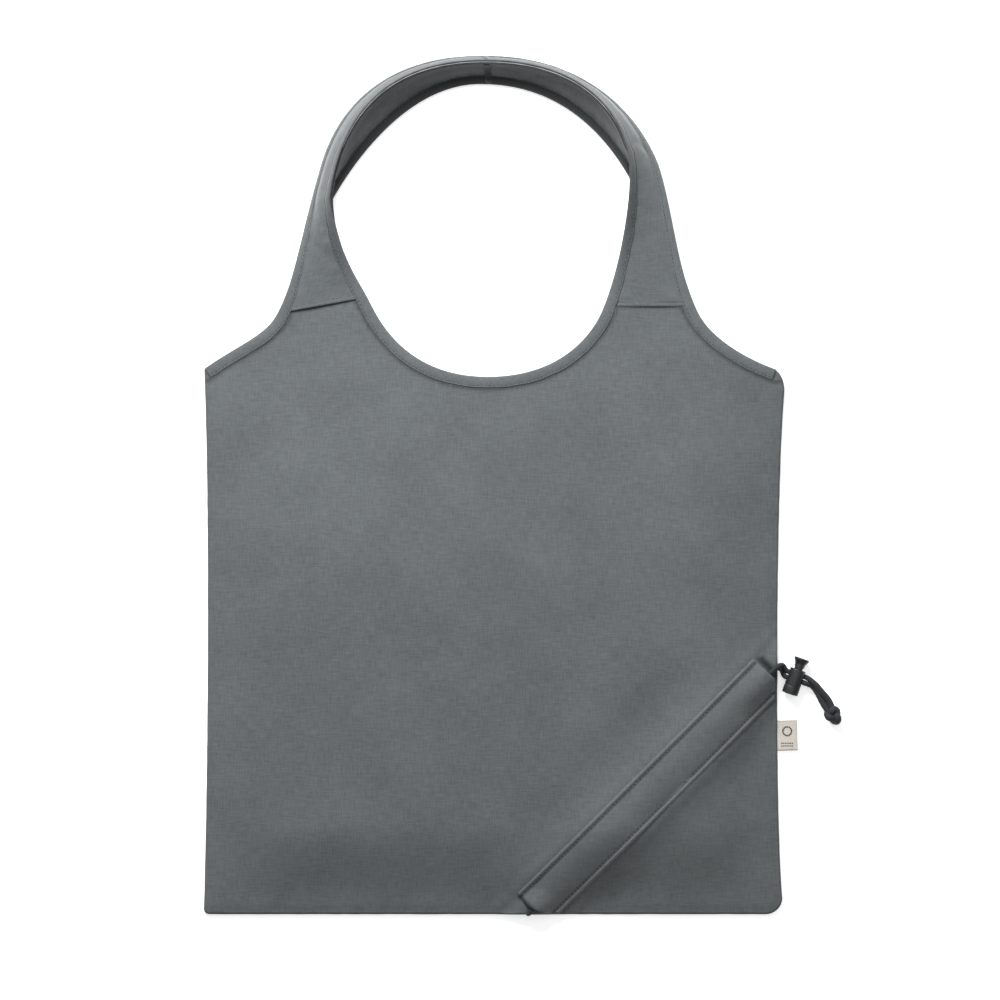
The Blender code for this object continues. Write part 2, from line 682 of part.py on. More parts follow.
def centre_on_origin(frame, cord_pieces):
    """Moves the bag so that the box of its own pieces stands centred on the world's origin."""
    bpy.context.view_layer.update()
    depsgraph = bpy.context.evaluated_depsgraph_get()
    low = Vector((1e9, 1e9))
    high = Vector((-1e9, -1e9))
    for piece in bpy.context.scene.objects:
        if piece.type != "MESH" or piece.hide_render or piece.name in cord_pieces:
            continue
        shape = piece.evaluated_get(depsgraph)
        for vertex in shape.data.vertices:
            at = shape.matrix_world @ vertex.co
            low.x, low.y = min(low.x, at.x), min(low.y, at.y)
            high.x, high.y = max(high.x, at.x), max(high.y, at.y)
    frame.location = (-(low.x + high.x) / 2, -(low.y + high.y) / 2, 0.0)


def add_empty(name, location, parent=None):
    made = bpy.data.objects.new(name, None)
    made.empty_display_size = 0.02
    bpy.context.collection.objects.link(made)
    made.parent = parent
    made.location = location
    return made


def pivot(name, location, parent):
    """A turning point, and under it a carrier whose own coordinates are the bag's again."""
    made = add_empty(name, location, parent)
    return add_empty(name + "_pieces", -Vector(location), made)


def main():
    clear_scene()
    fabric = material("nylon_fabric", (0.125, 0.134, 0.140), 0.72)
    cord_look = material("braided_cord", (0.014, 0.017, 0.019), 0.85)
    plastic = material("lock_plastic", (0.013, 0.015, 0.017), 0.45)
    steel = material("spring_steel", (0.55, 0.55, 0.56), 0.35)
    steel.node_tree.nodes["Principled BSDF"].inputs["Metallic"].default_value = 1.0
    tape = material("label_tape", (0.60, 0.56, 0.49), 0.85)

    frame = add_empty("bag_frame", (0.0, 0.0, 0.0))
    fold = (0.0, SHOULDER_Y, FOLD_Z)
    front_handle = pivot("front_handle_fold", fold, frame)
    back_handle = pivot("back_handle_fold", fold, frame)
    label_hinge = pivot("label_flap", (LABEL_LOW.x - 0.4 * MM, LABEL_LOW.y, 1.8 * MM), frame)
    lock = pivot("cord_lock_slide", LOCK_CENTRE, frame)
    plunger = pivot("cord_lock_press", (0.0, 0.0, 0.0), lock)

    make_panels(fabric, frame)
    make_panel_bindings(fabric, frame)
    make_seam_tapes(fabric, frame)
    make_casings(fabric, frame)
    make_handles(fabric, {"front": front_handle, "back": back_handle})
    make_cords(cord_look, frame)
    make_knot(cord_look, frame)
    make_lock(plastic, steel, lock, plunger)
    make_label(tape, label_hinge)
    centre_on_origin(frame, {"cord_knot", "cord_lock_barrel", "cord_lock_plunger", "cord_lock_spring"})


main()
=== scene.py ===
"""Looks of the foldable tote bag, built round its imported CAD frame.

The pieces are shaped in bag coordinates: X across, Y from the bottom seam to the handles, Z up
from the surface that the bag lies on, in metres. SHIFT takes them to the row frame.
"""

import math

import bmesh
import bpy
from mathutils import Matrix, Vector, kdtree, noise
from mathutils.geometry import delaunay_2d_cdt


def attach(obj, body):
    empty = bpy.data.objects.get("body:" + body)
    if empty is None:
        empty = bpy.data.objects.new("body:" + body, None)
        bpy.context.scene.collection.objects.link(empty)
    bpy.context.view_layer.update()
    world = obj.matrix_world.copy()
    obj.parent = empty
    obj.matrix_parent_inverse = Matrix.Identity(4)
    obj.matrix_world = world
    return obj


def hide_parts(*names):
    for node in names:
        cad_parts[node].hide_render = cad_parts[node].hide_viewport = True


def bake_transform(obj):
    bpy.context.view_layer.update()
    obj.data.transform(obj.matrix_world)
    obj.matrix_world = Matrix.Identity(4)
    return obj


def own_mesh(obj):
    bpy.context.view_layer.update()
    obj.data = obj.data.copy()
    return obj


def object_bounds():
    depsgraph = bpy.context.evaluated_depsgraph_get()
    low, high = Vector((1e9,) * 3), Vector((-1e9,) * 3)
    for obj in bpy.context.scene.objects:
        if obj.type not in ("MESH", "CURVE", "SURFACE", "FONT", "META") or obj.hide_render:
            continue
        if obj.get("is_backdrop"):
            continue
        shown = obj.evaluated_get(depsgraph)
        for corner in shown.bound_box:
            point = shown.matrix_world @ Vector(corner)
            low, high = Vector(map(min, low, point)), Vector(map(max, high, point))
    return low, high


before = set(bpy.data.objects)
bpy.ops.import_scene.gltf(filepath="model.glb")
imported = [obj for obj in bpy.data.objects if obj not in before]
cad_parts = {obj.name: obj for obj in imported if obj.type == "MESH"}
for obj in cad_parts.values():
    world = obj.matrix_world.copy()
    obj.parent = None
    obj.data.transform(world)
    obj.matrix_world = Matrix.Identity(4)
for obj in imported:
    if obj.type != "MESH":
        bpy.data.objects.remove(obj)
cad_low, cad_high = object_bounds()

MM = 0.001
SHIFT = Vector((-5.35, -285.23, 0.0)) * MM
UP = Vector((0.0, 0.0, 1.0))

# The CAD model's own dimensions, with the few that the looks add or change
GAP = 0.3 * MM
SHEET = 1.0 * MM
SEAM_SPACE = 2.0 * MM
PUFF = 12.0 * MM                # how far the loose front cloth stands off the back
PUFF_SIDE = 60.0 * MM           # over which it rises from the side and bottom seams
PUFF_TOP = 190.0 * MM           # and from the shoulders
GAPE = 6.0 * MM                 # more of it at the middle of the neckline
GAPE_HALF_WIDTH, GAPE_START, GAPE_REACH = 45 * MM, 250 * MM, 90 * MM
LEFT_X, RIGHT_X = -191.3 * MM, 192.0 * MM
SHOULDER_Y, NECK_X = 404.0 * MM, -3.0 * MM
BIND_WIDTH, HANDLE_BIND_WIDTH = 7.5 * MM, 6.2 * MM
BIND_OUT, BIND_ROOM = 0.9 * MM, 1.2 * MM
BIND_LIFT_START, BIND_LIFT_REACH = 240 * MM, 170 * MM
PANEL_WIDE, PANEL_TALL = 385 * MM, 411 * MM
RIDGE_Z = 24.0 * MM             # of the front handle's inner edge
OUTER_EDGE_Z = 1.6 * MM         # of its outer edge, where the handle is raised
RISE_LEFT, RISE_RIGHT = 0.17, 0.25  # shares of a handle's length over which its ridge rises
FRONT_STRIP_Z = BIND_ROOM + 1.5 * SHEET + SEAM_SPACE
BACK_STRIP_Z = BIND_ROOM + 0.5 * SHEET
BACK_STRIP_RISE = 0.8 * MM
TUCK_GAP = 1.95 * MM            # between the two loops at the ridge, closer than in the CAD model
BACK_SAG = 3.6 * MM             # how far the back strip hangs in along the raised part of the handle
CORD = 3.4 * MM
CASING_SHEET = 0.8 * MM
CASING_LOW = Vector((26.2, 2.65)) * MM
CASING_HIGH = Vector((183.0, 158.8)) * MM
CASING_ALONG = (CASING_HIGH - CASING_LOW).normalized()
CASING_ACROSS = Vector((-CASING_ALONG.y, CASING_ALONG.x))
CORD_TURN = -0.8 * MM           # the shown cord is tucked into the bottom seam
CASING_SINK = 3.1 * MM          # how deep the cord beds into the cloth under it
LOCK_CENTRE = Vector((201.1, 157.3, 5.45)) * MM
LOCK_TILT = math.radians(19.7)
LOCK_UP = Vector((math.sin(LOCK_TILT), math.cos(LOCK_TILT), 0.0))
LOCK_ALONG = Vector((math.cos(LOCK_TILT), -math.sin(LOCK_TILT), 0.0))
SLOT_CENTRE = 12.2 * MM         # of the slots, up from the barrel's closed end
STRAND = 1.9 * MM               # from the slots' centre to each of the two strands
KNOT_CENTRE = Vector((226.1, 131.8, 5.7)) * MM
TAIL_ACROSS = Vector((0.84, 0.54, 0.0))

# Cloth
CLOTH = 0.55 * MM               # thickness of the shown fabric
STEP = 3.0 * MM                 # mesh size of a panel
EDGE_STEP = 1.5 * MM            # along its edges, and in the puckered bands beside them
HANDLE_STATIONS = 220
ACROSS = 14                     # mesh columns across a handle strip
STITCH_PITCH = 2.7 * MM
STITCH_LENGTH = 1.9 * MM
STITCH_RADIUS = 0.17 * MM
SEAM_LINE = 1.1 * MM            # from a tape's edge to its row of stitches
CROWN = 0.9 * MM                # how far a wide handle strip bulges between its edges
ROLL_HALF_WIDTH = 1.0 * MM      # of the turned edge where the two panels are sewn together
ROLL_ROOM = 0.22 * MM           # by which it is thicker than the two panels
ROLL_INSET = 0.55 * MM
BRAID_STRANDS = 8
BRAID_PITCH = 7.0 * MM
KNOT_RADIUS = 2.45 * MM         # of the cord in the knot, where it is swollen


# ---------------------------------------------------------------- small tools

def smooth(t):
    t = min(max(t, 0.0), 1.0)
    return t * t * (3.0 - 2.0 * t)


def hump(distance, width):
    return math.exp(-(distance / width) ** 2)


def bezier(start, pull_a, pull_b, end, count=60):
    """Points of a cubic curve, without its last one; the arguments are in millimetres."""
    corners = [Vector(p) * MM for p in (start, pull_a, pull_b, end)]
    points = []
    for i in range(count):
        t = i / count
        s = 1.0 - t
        weights = (s ** 3, 3 * s * s * t, 3 * s * t * t, t ** 3)
        points.append(sum((c * w for c, w in zip(corners, weights)), Vector((0.0, 0.0))))
    return points


def curve(*corners):
    """Points of joined cubic curves, with the last one: every third corner is on the line."""
    points = []
    for k in range(0, len(corners) - 1, 3):
        points += bezier(*corners[k:k + 4])
    return points + [Vector(corners[-1]) * MM]


def arc(centre_x, centre_y, radius, start, end, count):
    points = []
    for i in range(count + 1):
        turn = math.radians(start + (end - start) * i / count)
        points.append(Vector((centre_x + radius * math.cos(turn), centre_y + radius * math.sin(turn))))
    return points


def travelled(points):
    """Length from a polyline's start to each of its points."""
    lengths = [0.0]
    for a, b in zip(points, points[1:]):
        lengths.append(lengths[-1] + (b - a).length)
    return lengths


def spots(lengths, wants):
    """(segment, share of it) of a polyline at each wanted length from its start, in rising order."""
    k = 0
    for want in wants:
        while k < len(lengths) - 2 and lengths[k + 1] < want:
            k += 1
        yield k, (want - lengths[k]) / max(lengths[k + 1] - lengths[k], 1e-12)


def resample(points, count):
    """count points at even steps along a polyline."""
    lengths = travelled(points)
    wants = [lengths[-1] * i / (count - 1) for i in range(count)]
    return [points[k].lerp(points[k + 1], part) for k, part in spots(lengths, wants)]


def heading(points, i):
    """From the point before the i-th one to the point after it."""
    return points[min(i + 1, len(points) - 1)] - points[max(i - 1, 0)]


def by_step(points, step):
    return resample(points, max(3, round(travelled(points)[-1] / step) + 1))


def through(points, step):
    """Points at even steps on a smooth curve through the given ones."""
    ends = [points[0] * 2 - points[1]] + list(points) + [points[-1] * 2 - points[-2]]
    fine = []
    for a, b, c, d in zip(ends, ends[1:], ends[2:], ends[3:]):
        for i in range(16):
            t = i / 16
            fine.append(0.5 * ((2 * b) + (c - a) * t + (2 * a - 5 * b + 4 * c - d) * t * t
                               + (3 * b - a - 3 * c + d) * t ** 3))
    fine.append(points[-1])
    return by_step(fine, step)


def inside(x, y, outline):
    found = False
    for a, b in zip(outline, outline[1:] + outline[:1]):
        if (a.y > y) != (b.y > y) and x < a.x + (y - a.y) * (b.x - a.x) / (b.y - a.y):
            found = not found
    return found


def ripple(along, wavelength, seed):
    """A wave of uneven length and height, from -1 to 1, along an edge."""
    return noise.noise(Vector((along / wavelength, seed, 0.5 * seed))) * 1.6


# ---------------------------------------------------------------- edges of the cut pieces

# Corners in millimetres; each shoulder seam from left to right
ARMHOLE_LEFT, ARMHOLE_RIGHT = (-191, 361), (188.2, 360.4)
SHOULDER_LEFT = ((-141, 399.2), (-84, 409.7))
SHOULDER_RIGHT = ((75.4, 403.7), (133, 403.7))


def shoulder(ends):
    return [Vector(end) * MM for end in ends]


def left_armhole():
    return curve(ARMHOLE_LEFT, (-170, 376), (-148, 384), SHOULDER_LEFT[0])


def right_armhole():
    return curve(ARMHOLE_RIGHT, (160, 370.5), (139, 387), SHOULDER_RIGHT[1])


def neckline():
    return curve(SHOULDER_LEFT[1], (-74, 386), (-52, 355.5), (-3, 355.5),
                 (42, 355.5), (66, 380), SHOULDER_RIGHT[0])


def left_side():
    """Downwards from the armhole."""
    return curve(ARMHOLE_LEFT, (-188, 300), (-187.5, 120), (-191.3, 3))


def right_side():
    """Upwards to the armhole."""
    side = bezier((192, 10.6), (187, 60), (187.5, 280), (193.3, 346))
    corner = bezier((193.3, 346), (193.6, 352), (192, 358), ARMHOLE_RIGHT, 8)
    return side + corner + [Vector(ARMHOLE_RIGHT) * MM]


def bottom_edge():
    """From the lower left corner to the lower right one, both corners included."""
    small, large = 3 * MM, 10.6 * MM
    return (arc(LEFT_X + small, small, small, 180, 270, 5)
            + arc(RIGHT_X - large, large, large, 270, 360, 12))


def panel_outline():
    """Anticlockwise, from the lower left corner, at even steps between the corners."""
    leftwards = [shoulder(SHOULDER_RIGHT), neckline(), shoulder(SHOULDER_LEFT), left_armhole()]
    parts = [bottom_edge(), right_side(), right_armhole(), *(part[::-1] for part in leftwards), left_side()]
    return [point for part in parts for point in by_step(part, EDGE_STEP)[:-1]]


def outer_edge():
    """The armhole side of the handles, from the left shoulder seam over the top to the right one."""
    return curve((-141, 399.9), (-131, 418), (-124, 462), (-114.9, 491.6), (-103, 540), (-66, 570), (-5, 569),
                 (54, 569.5), (94, 538), (109.5, 497), (118.5, 469), (121, 432), (133, 404.4))


def front_inner_edge():
    return curve((-84, 410.4), (-97, 428), (-106.5, 455), (-108, 474), (-100, 536), (-64, 565.5), (-5, 565.2),
                 (50, 565.5), (84, 540), (91.2, 498.2), (93, 475), (86, 432), (75.4, 404.4))


def back_inner_edge():
    return curve((-85, 410.2), (-98, 430), (-107, 456), (-106.5, 475), (-97, 492), (-60, 551.5), (-8, 551.5),
                 (38, 551.5), (70, 527), (92, 488), (93, 470), (86, 432), (76, 404.4))


# ---------------------------------------------------------------- heights

def casing_place(x, y):
    """Distances along the casing's middle line and across it, positive on its upper left side."""
    at = Vector((x, y)) - CASING_LOW
    return at.dot(CASING_ALONG), at.dot(CASING_ACROSS)


def back_z(x, y):
    """Underside of the back panel in the CAD model."""
    along, across = casing_place(x, y)
    cord_room = CASING_SHEET + CORD + 3 * GAP
    flat_room = CASING_SHEET + GAP
    low = flat_room * smooth((24 * MM - abs(across)) / (8 * MM))
    high = (cord_room - flat_room) * smooth((15 * MM - abs(across)) / (13 * MM))
    ends = smooth((along + 30 * MM) / (16 * MM))
    top = BIND_ROOM * smooth((y - BIND_LIFT_START) / BIND_LIFT_REACH)
    return (low + high) * ends + top


def front_z(x, y):
    """Underside of the front panel in the CAD model."""
    side = min(x - LEFT_X, RIGHT_X - 3 * MM - x)
    puff = PUFF * smooth(side / PUFF_SIDE) * smooth(y / PUFF_SIDE) * smooth((SHOULDER_Y - y) / PUFF_TOP)
    gape = GAPE * hump(x - NECK_X, GAPE_HALF_WIDTH) * smooth((y - GAPE_START) / GAPE_REACH)
    return back_z(x, y) + SHEET + SEAM_SPACE + puff + gape


SEAM_PATHS = {
    "neck": by_step(neckline(), EDGE_STEP),
    "armhole_left": by_step(left_armhole(), EDGE_STEP),
    "armhole_right": by_step(right_armhole(), EDGE_STEP),
    "shoulder_left": by_step(shoulder(SHOULDER_LEFT), EDGE_STEP),
    "shoulder_right": by_step(shoulder(SHOULDER_RIGHT), EDGE_STEP),
    "side_left": by_step(left_side(), EDGE_STEP),
    "side_right": by_step(right_side(), EDGE_STEP),
    "bottom": by_step(bottom_edge(), EDGE_STEP),
}
# (wavelength, height, reach) of the puckers that each seam draws into the cloth
PUCKERS = {
    "neck": (6.5, 0.16, 9.0), "armhole_left": (7.0, 0.13, 8.0), "armhole_right": (7.0, 0.13, 8.0),
    "shoulder_left": (4.2, 0.20, 20.0), "shoulder_right": (5.5, 0.10, 12.0),
    "side_left": (14.0, 0.18, 9.0), "side_right": (12.0, 0.20, 9.0), "bottom": (15.0, 0.18, 9.0),
}


def finder(points):
    """A search tree over flat points."""
    tree = kdtree.KDTree(len(points))
    for i, point in enumerate(points):
        tree.insert((point.x, point.y, 0.0), i)
    tree.balance()
    return tree


SEAM_TREES = {name: finder(path) for name, path in SEAM_PATHS.items()}


def pucker(x, y, seed):
    """Small waves square to the nearby seams, and how near the side and bottom seams are, 0 to 1."""
    height, pull = 0.0, 0.0
    for number, (name, tree) in enumerate(SEAM_TREES.items()):
        _, i, away = tree.find((x, y, 0.0))
        wavelength, tall, reach = PUCKERS[name]
        if away < reach * MM * 2.2:
            wave = ripple(i * EDGE_STEP, wavelength * MM, seed + number * 7.3)
            height += wave * tall * MM * hump(away, reach * MM) * smooth((away + 1.5 * MM) / (4 * MM))
        if name in ("side_left", "side_right", "bottom"):
            pull = max(pull, smooth(1.0 - away / (7 * MM)))
    return height, pull


def undulation(x, y, seed):
    """Broad soft unevenness of cloth that lies loose."""
    side = smooth(min(x - LEFT_X, RIGHT_X - x) / (45 * MM)) * smooth(y / (45 * MM))
    loose = 0.35 + 0.65 * smooth((385 * MM - y) / (70 * MM))
    broad = noise.noise(Vector((x * 8.0, y * 6.0, seed))) * 2.6 * MM * loose
    long_waves = noise.noise(Vector((x * 19.0, y * 6.0, seed + 5.1))) * 0.95 * MM * loose
    fine = noise.noise(Vector((x * 60.0, y * 45.0, seed + 9.4))) * 0.10 * MM
    return (broad + long_waves) * side + fine


def casing_pull(x, y):
    """The sewn casing draws the loose front cloth down in a valley beside it."""
    along, across = casing_place(x, y)
    ends = smooth((along - 5 * MM) / (45 * MM)) * smooth((215 * MM - along) / (40 * MM))
    above = 2.4 * MM * hump(across - 33 * MM, 15 * MM) if across > 0 else 0.0
    below = 1.6 * MM * hump(across + 30 * MM, 13 * MM) if across < 0 else 0.0
    return (above + below) * ends


def spread_lift(x, y):
    """Away from the seams the front cloth passes over the casings in a wide low rise, not in a narrow one."""
    along, across = casing_place(x, y)
    share = smooth((RIGHT_X - x) / (30 * MM)) * smooth(y / (30 * MM)) * smooth((along + 30 * MM) / (16 * MM))
    wide = smooth((52 * MM - abs(across)) / (50 * MM)) - smooth((15 * MM - abs(across)) / (13 * MM))
    return (CORD + 2 * GAP) * max(wide, 0.0) * share


def casing_sink(x, y):
    """The cord beds into the cloth under the casing, except at its two ends."""
    along, across = casing_place(x, y)
    ends = smooth((along - 4 * MM) / (14 * MM)) * smooth((208 * MM - along) / (22 * MM))
    return CASING_SINK * hump(across, 6 * MM) * ends


def front_surface(x, y):
    height, pull = pucker(x, y, 1.0)
    return (front_z(x, y) + SHEET / 2 + undulation(x, y, 2.0) + height - casing_pull(x, y) - casing_sink(x, y)
            + spread_lift(x, y) - 0.9 * MM * pull)


def back_surface(x, y):
    height, pull = pucker(x, y, 31.0)
    lift = 0.3 * MM + 0.55 * MM * pull
    flat = smooth(min(x - LEFT_X, RIGHT_X - x) / (20 * MM))
    return back_z(x, y) + SHEET / 2 + 0.25 * undulation(x, y, 12.0) * flat + 0.6 * height + lift


# ---------------------------------------------------------------- materials

def new_material(name, roughness, **inputs):
    made = bpy.data.materials.new(name)
    made.use_nodes = True
    shader = made.node_tree.nodes["Principled BSDF"]
    shader.inputs["Roughness"].default_value = roughness
    for key, value in inputs.items():
        shader.inputs[key.replace("_", " ")].default_value = value
    return made, made.node_tree, shader


def node(tree, kind, **settings):
    made = tree.nodes.new(kind)
    for key, value in settings.items():
        setattr(made, key, value)
    return made


def math_node(tree, operation, *values):
    made = node(tree, "ShaderNodeMath", operation=operation)
    for socket, value in zip(made.inputs, values):
        if isinstance(value, (int, float)):
            socket.default_value = value
        else:
            tree.links.new(value, socket)
    return made.outputs[0]


def weighted(tree, *pairs):
    """The sum of some outputs, each times its weight."""
    total = None
    for value, weight in pairs:
        term = math_node(tree, "MULTIPLY", value, weight)
        total = term if total is None else math_node(tree, "ADD", total, term)
    return total


def two_tone(tree, factor, dark, light):
    """A colour that goes from dark to light with the factor."""
    made = node(tree, "ShaderNodeMix", data_type="RGBA")
    tree.links.new(factor, made.inputs[0])
    made.inputs[6].default_value = (*dark, 1.0)
    made.inputs[7].default_value = (*light, 1.0)
    return made.outputs[2]


def add_bump(tree, shader, height, strength, distance):
    made = node(tree, "ShaderNodeBump")
    made.inputs["Strength"].default_value = strength
    made.inputs["Distance"].default_value = distance
    tree.links.new(height, made.inputs["Height"])
    tree.links.new(made.outputs[0], shader.inputs["Normal"])


def noise_output(tree, vector, scale, detail, stretch=(1.0, 1.0, 1.0)):
    """Noise from 0 to 1, with features 1 / scale metres long, shortened by stretch."""
    mapping = node(tree, "ShaderNodeMapping")
    mapping.inputs["Scale"].default_value = stretch
    tree.links.new(vector, mapping.inputs["Vector"])
    made = node(tree, "ShaderNodeTexNoise")
    made.inputs["Scale"].default_value = scale
    made.inputs["Detail"].default_value = detail
    tree.links.new(mapping.outputs[0], made.inputs["Vector"])
    return made.outputs["Fac"]


def weave_material(name, dark, light, pitch, turn=0.0, depth=0.09, slub=0.55, sheen=0.25):
    """Plain weave on the piece's own cloth coordinates, with uneven threads and cloudy dye; its
    wear_and_painted_light attribute paints shade into the colour below zero and lightens it above zero, on
    edges that are partly worn and partly given a painted highlight.
    """
    made, tree, shader = new_material(name, 0.86, Sheen_Weight=sheen, Sheen_Roughness=0.5)
    shader.inputs["Specular IOR Level"].default_value = 0.25
    coordinates = node(tree, "ShaderNodeUVMap", uv_map="cloth")
    turned = node(tree, "ShaderNodeMapping")
    turned.inputs["Rotation"].default_value = (0.0, 0.0, turn)
    tree.links.new(coordinates.outputs[0], turned.inputs["Vector"])
    parts = node(tree, "ShaderNodeSeparateXYZ")
    tree.links.new(turned.outputs[0], parts.inputs[0])
    phases = [math_node(tree, "MULTIPLY", parts.outputs[k], math.pi / pitch) for k in (0, 1)]
    weave = math_node(tree, "MULTIPLY", *(math_node(tree, "SINE", phase) for phase in phases))
    thread_noise = 1.0 / (2.2 * pitch)
    along = noise_output(tree, turned.outputs[0], thread_noise, 2.0, (0.12, 1.0, 1.0))
    across = noise_output(tree, turned.outputs[0], thread_noise, 2.0, (1.0, 0.12, 1.0))
    cloud = noise_output(tree, turned.outputs[0], 24.0, 3.0)
    specks = noise_output(tree, turned.outputs[0], 1.0 / (1.4 * pitch), 1.0)
    thick_weft = noise_output(tree, turned.outputs[0], 1.0 / (5.0 * pitch), 2.0, (0.22, 1.0, 1.0))
    wear_and_painted_light = node(tree, "ShaderNodeAttribute", attribute_name="wear_and_painted_light").outputs["Fac"]
    threads = weighted(tree, (thick_weft, 0.45), (along, 1.0), (across, 1.0))
    mixed = weighted(tree, (threads, slub), (specks, 0.35), (weave, 0.10), (cloud, 0.45), (wear_and_painted_light, 0.45))
    centred = math_node(tree, "SUBTRACT", mixed, 1.225 * slub + 0.40 - 0.5)
    colour = two_tone(tree, centred, dark, light)
    # Painted shade: where the attribute is below zero it also darkens the colour outright.
    painted_shade_darkening = math_node(tree, "MULTIPLY", math_node(tree, "MINIMUM", wear_and_painted_light, 0.0), 0.55)
    shade = node(tree, "ShaderNodeVectorMath", operation="SCALE")
    tree.links.new(colour, shade.inputs[0])
    tree.links.new(math_node(tree, "ADD", painted_shade_darkening, 1.0), shade.inputs["Scale"])
    tree.links.new(shade.outputs[0], shader.inputs["Base Color"])
    add_bump(tree, shader, weighted(tree, (weave, 0.5), (threads, 1.0)), 0.55, depth * MM)
    return made


def braid_material(name, dark, light):
    made, tree, shader = new_material(name, 0.8, Sheen_Weight=0.08, Sheen_Roughness=0.4)
    coordinates = node(tree, "ShaderNodeUVMap", uv_map="cloth")
    fibres = noise_output(tree, coordinates.outputs[0], 5200.0, 2.0, (0.35, 1.0, 1.0))
    patches = noise_output(tree, coordinates.outputs[0], 420.0, 2.0)
    wear_and_painted_light = node(tree, "ShaderNodeAttribute", attribute_name="wear_and_painted_light").outputs["Fac"]
    factor = weighted(tree, (fibres, 0.5), (patches, 0.3), (wear_and_painted_light, 0.35))
    tree.links.new(two_tone(tree, factor, dark, light), shader.inputs["Base Color"])
    add_bump(tree, shader, fibres, 0.5, 0.06 * MM)
    return made


def plastic_material(name):
    """Moulded plastic with a fine spark-eroded grain and faint scuffs."""
    made, tree, shader = new_material(name, 0.5)
    place = node(tree, "ShaderNodeTexCoord")
    grain = noise_output(tree, place.outputs["Object"], 9000.0, 2.0)
    scuffs = noise_output(tree, place.outputs["Object"], 380.0, 4.0)
    ramp = node(tree, "ShaderNodeMapRange")
    tree.links.new(scuffs, ramp.inputs["Value"])
    for key, value in (("From Min", 0.35), ("From Max", 0.75), ("To Min", 0.36), ("To Max", 0.58)):
        ramp.inputs[key].default_value = value
    tree.links.new(ramp.outputs[0], shader.inputs["Roughness"])
    colour = two_tone(tree, scuffs, (0.006, 0.007, 0.008), (0.016, 0.018, 0.020))
    tree.links.new(colour, shader.inputs["Base Color"])
    add_bump(tree, shader, grain, 0.25, 0.03 * MM)
    return made


def steel_material(name):
    made, tree, shader = new_material(name, 0.3, Metallic=1.0)
    place = node(tree, "ShaderNodeTexCoord")
    drawn = noise_output(tree, place.outputs["Object"], 6000.0, 3.0)
    colour = two_tone(tree, drawn, (0.42, 0.42, 0.43), (0.62, 0.62, 0.63))
    tree.links.new(colour, shader.inputs["Base Color"])
    return made


def floor_material():
    made, _, shader = new_material("floor_paper", 0.9)
    shader.inputs["Base Color"].default_value = (0.9, 0.9, 0.9, 1.0)
    shader.inputs["Emission Color"].default_value = (1.0, 1.0, 1.0, 1.0)
    shader.inputs["Emission Strength"].default_value = FLOOR_GLOW
    return made


FLOOR_GLOW = 0.55
GREY = ((0.048, 0.054, 0.057), (0.134, 0.146, 0.150))
THREAD_GREY = ((0.045, 0.050, 0.054), (0.16, 0.17, 0.175))
CREAM = ((0.36, 0.33, 0.29), (0.68, 0.64, 0.58))
PRINT_BLACK = ((0.03, 0.03, 0.03), (0.10, 0.10, 0.09))
CORD_BLACK = ((0.004, 0.005, 0.006), (0.024, 0.027, 0.031))
LOOKS = {
    "nylon_fabric": weave_material("nylon_fabric", *GREY, 0.42 * MM),
    "binding_tape": weave_material("binding_tape", *GREY, 0.50 * MM, turn=math.radians(45)),
    "label_tape": weave_material("label_tape", *CREAM, 0.30 * MM, slub=0.35),
    "braided_cord": braid_material("braided_cord", *CORD_BLACK),
    "lock_plastic": plastic_material("lock_plastic"),
    "spring_steel": steel_material("spring_steel"),
    "thread": weave_material("thread", *THREAD_GREY, 0.12 * MM, depth=0.03),
    "label_print": weave_material("label_print", *PRINT_BLACK, 0.30 * MM),
}


# ---------------------------------------------------------------- mesh builders

def add_mesh(name, verts, faces, uvs, look, wear_and_painted_light=None, thickness=None):
    """A mesh in the row frame from bag coordinates; uvs are per vertex, or per corner in a list of lists."""
    mesh = bpy.data.meshes.new(name)
    mesh.from_pydata([v + SHIFT for v in verts], [], faces)
    layer = mesh.uv_layers.new(name="cloth")
    per_corner = isinstance(uvs[0], list)
    values = []
    for k, polygon in enumerate(mesh.polygons):
        for c, vertex in enumerate(polygon.vertices):
            values.extend(uvs[k][c] if per_corner else uvs[vertex])
    layer.data.foreach_set("uv", values)
    if wear_and_painted_light:
        attribute = mesh.attributes.new("wear_and_painted_light", "FLOAT", "POINT")
        attribute.data.foreach_set("value", wear_and_painted_light)
    mesh.materials.append(LOOKS[look])
    mesh.shade_smooth()
    mesh.validate()
    made = bpy.data.objects.new(name, mesh)
    bpy.context.scene.collection.objects.link(made)
    if thickness:
        solid = made.modifiers.new("cloth", "SOLIDIFY")
        solid.thickness = thickness
        solid.offset = 0.0
    return made


def loft(rings, looped=False):
    """Corners, faces and per-corner cloth coordinates of a tube through equal closed rings of points."""
    size = len(rings[0])
    verts = [p for ring in rings for p in ring]
    along = [0.0]
    for a, b in zip(rings, rings[1:] + rings[:1]):
        along.append(along[-1] + (sum(b, Vector()) - sum(a, Vector())).length / size)
    around = [0.0]
    for i in range(size):
        around.append(around[-1] + (rings[0][(i + 1) % size] - rings[0][i]).length)
    faces, uvs = [], []
    count = len(rings)
    for r in range(count if looped else count - 1):
        for i in range(size):
            n, j = (r + 1) % count, (i + 1) % size
            faces.append([r * size + i, r * size + j, n * size + j, n * size + i])
            uvs.append([(along[r], around[i]), (along[r], around[i + 1]),
                        (along[r + 1], around[i + 1]), (along[r + 1], around[i])])
    if not looped:
        for start, order in ((0, reversed(range(size))), ((count - 1) * size, range(size))):
            cap = [start + i for i in order]
            faces.append(cap)
            uvs.append([(along[0 if start == 0 else -2], around[i - start]) for i in cap])
    return verts, faces, uvs


def grid_faces(rows, size, turned=False):
    """Faces of a sheet of rows + 1 lines of points, size points in each."""
    faces = []
    for r in range(rows):
        for k in range(size - 1):
            i = r * size + k
            face = [i, i + 1, i + size + 1, i + size]
            faces.append([face[0]] + face[:0:-1] if turned else face)
    return faces


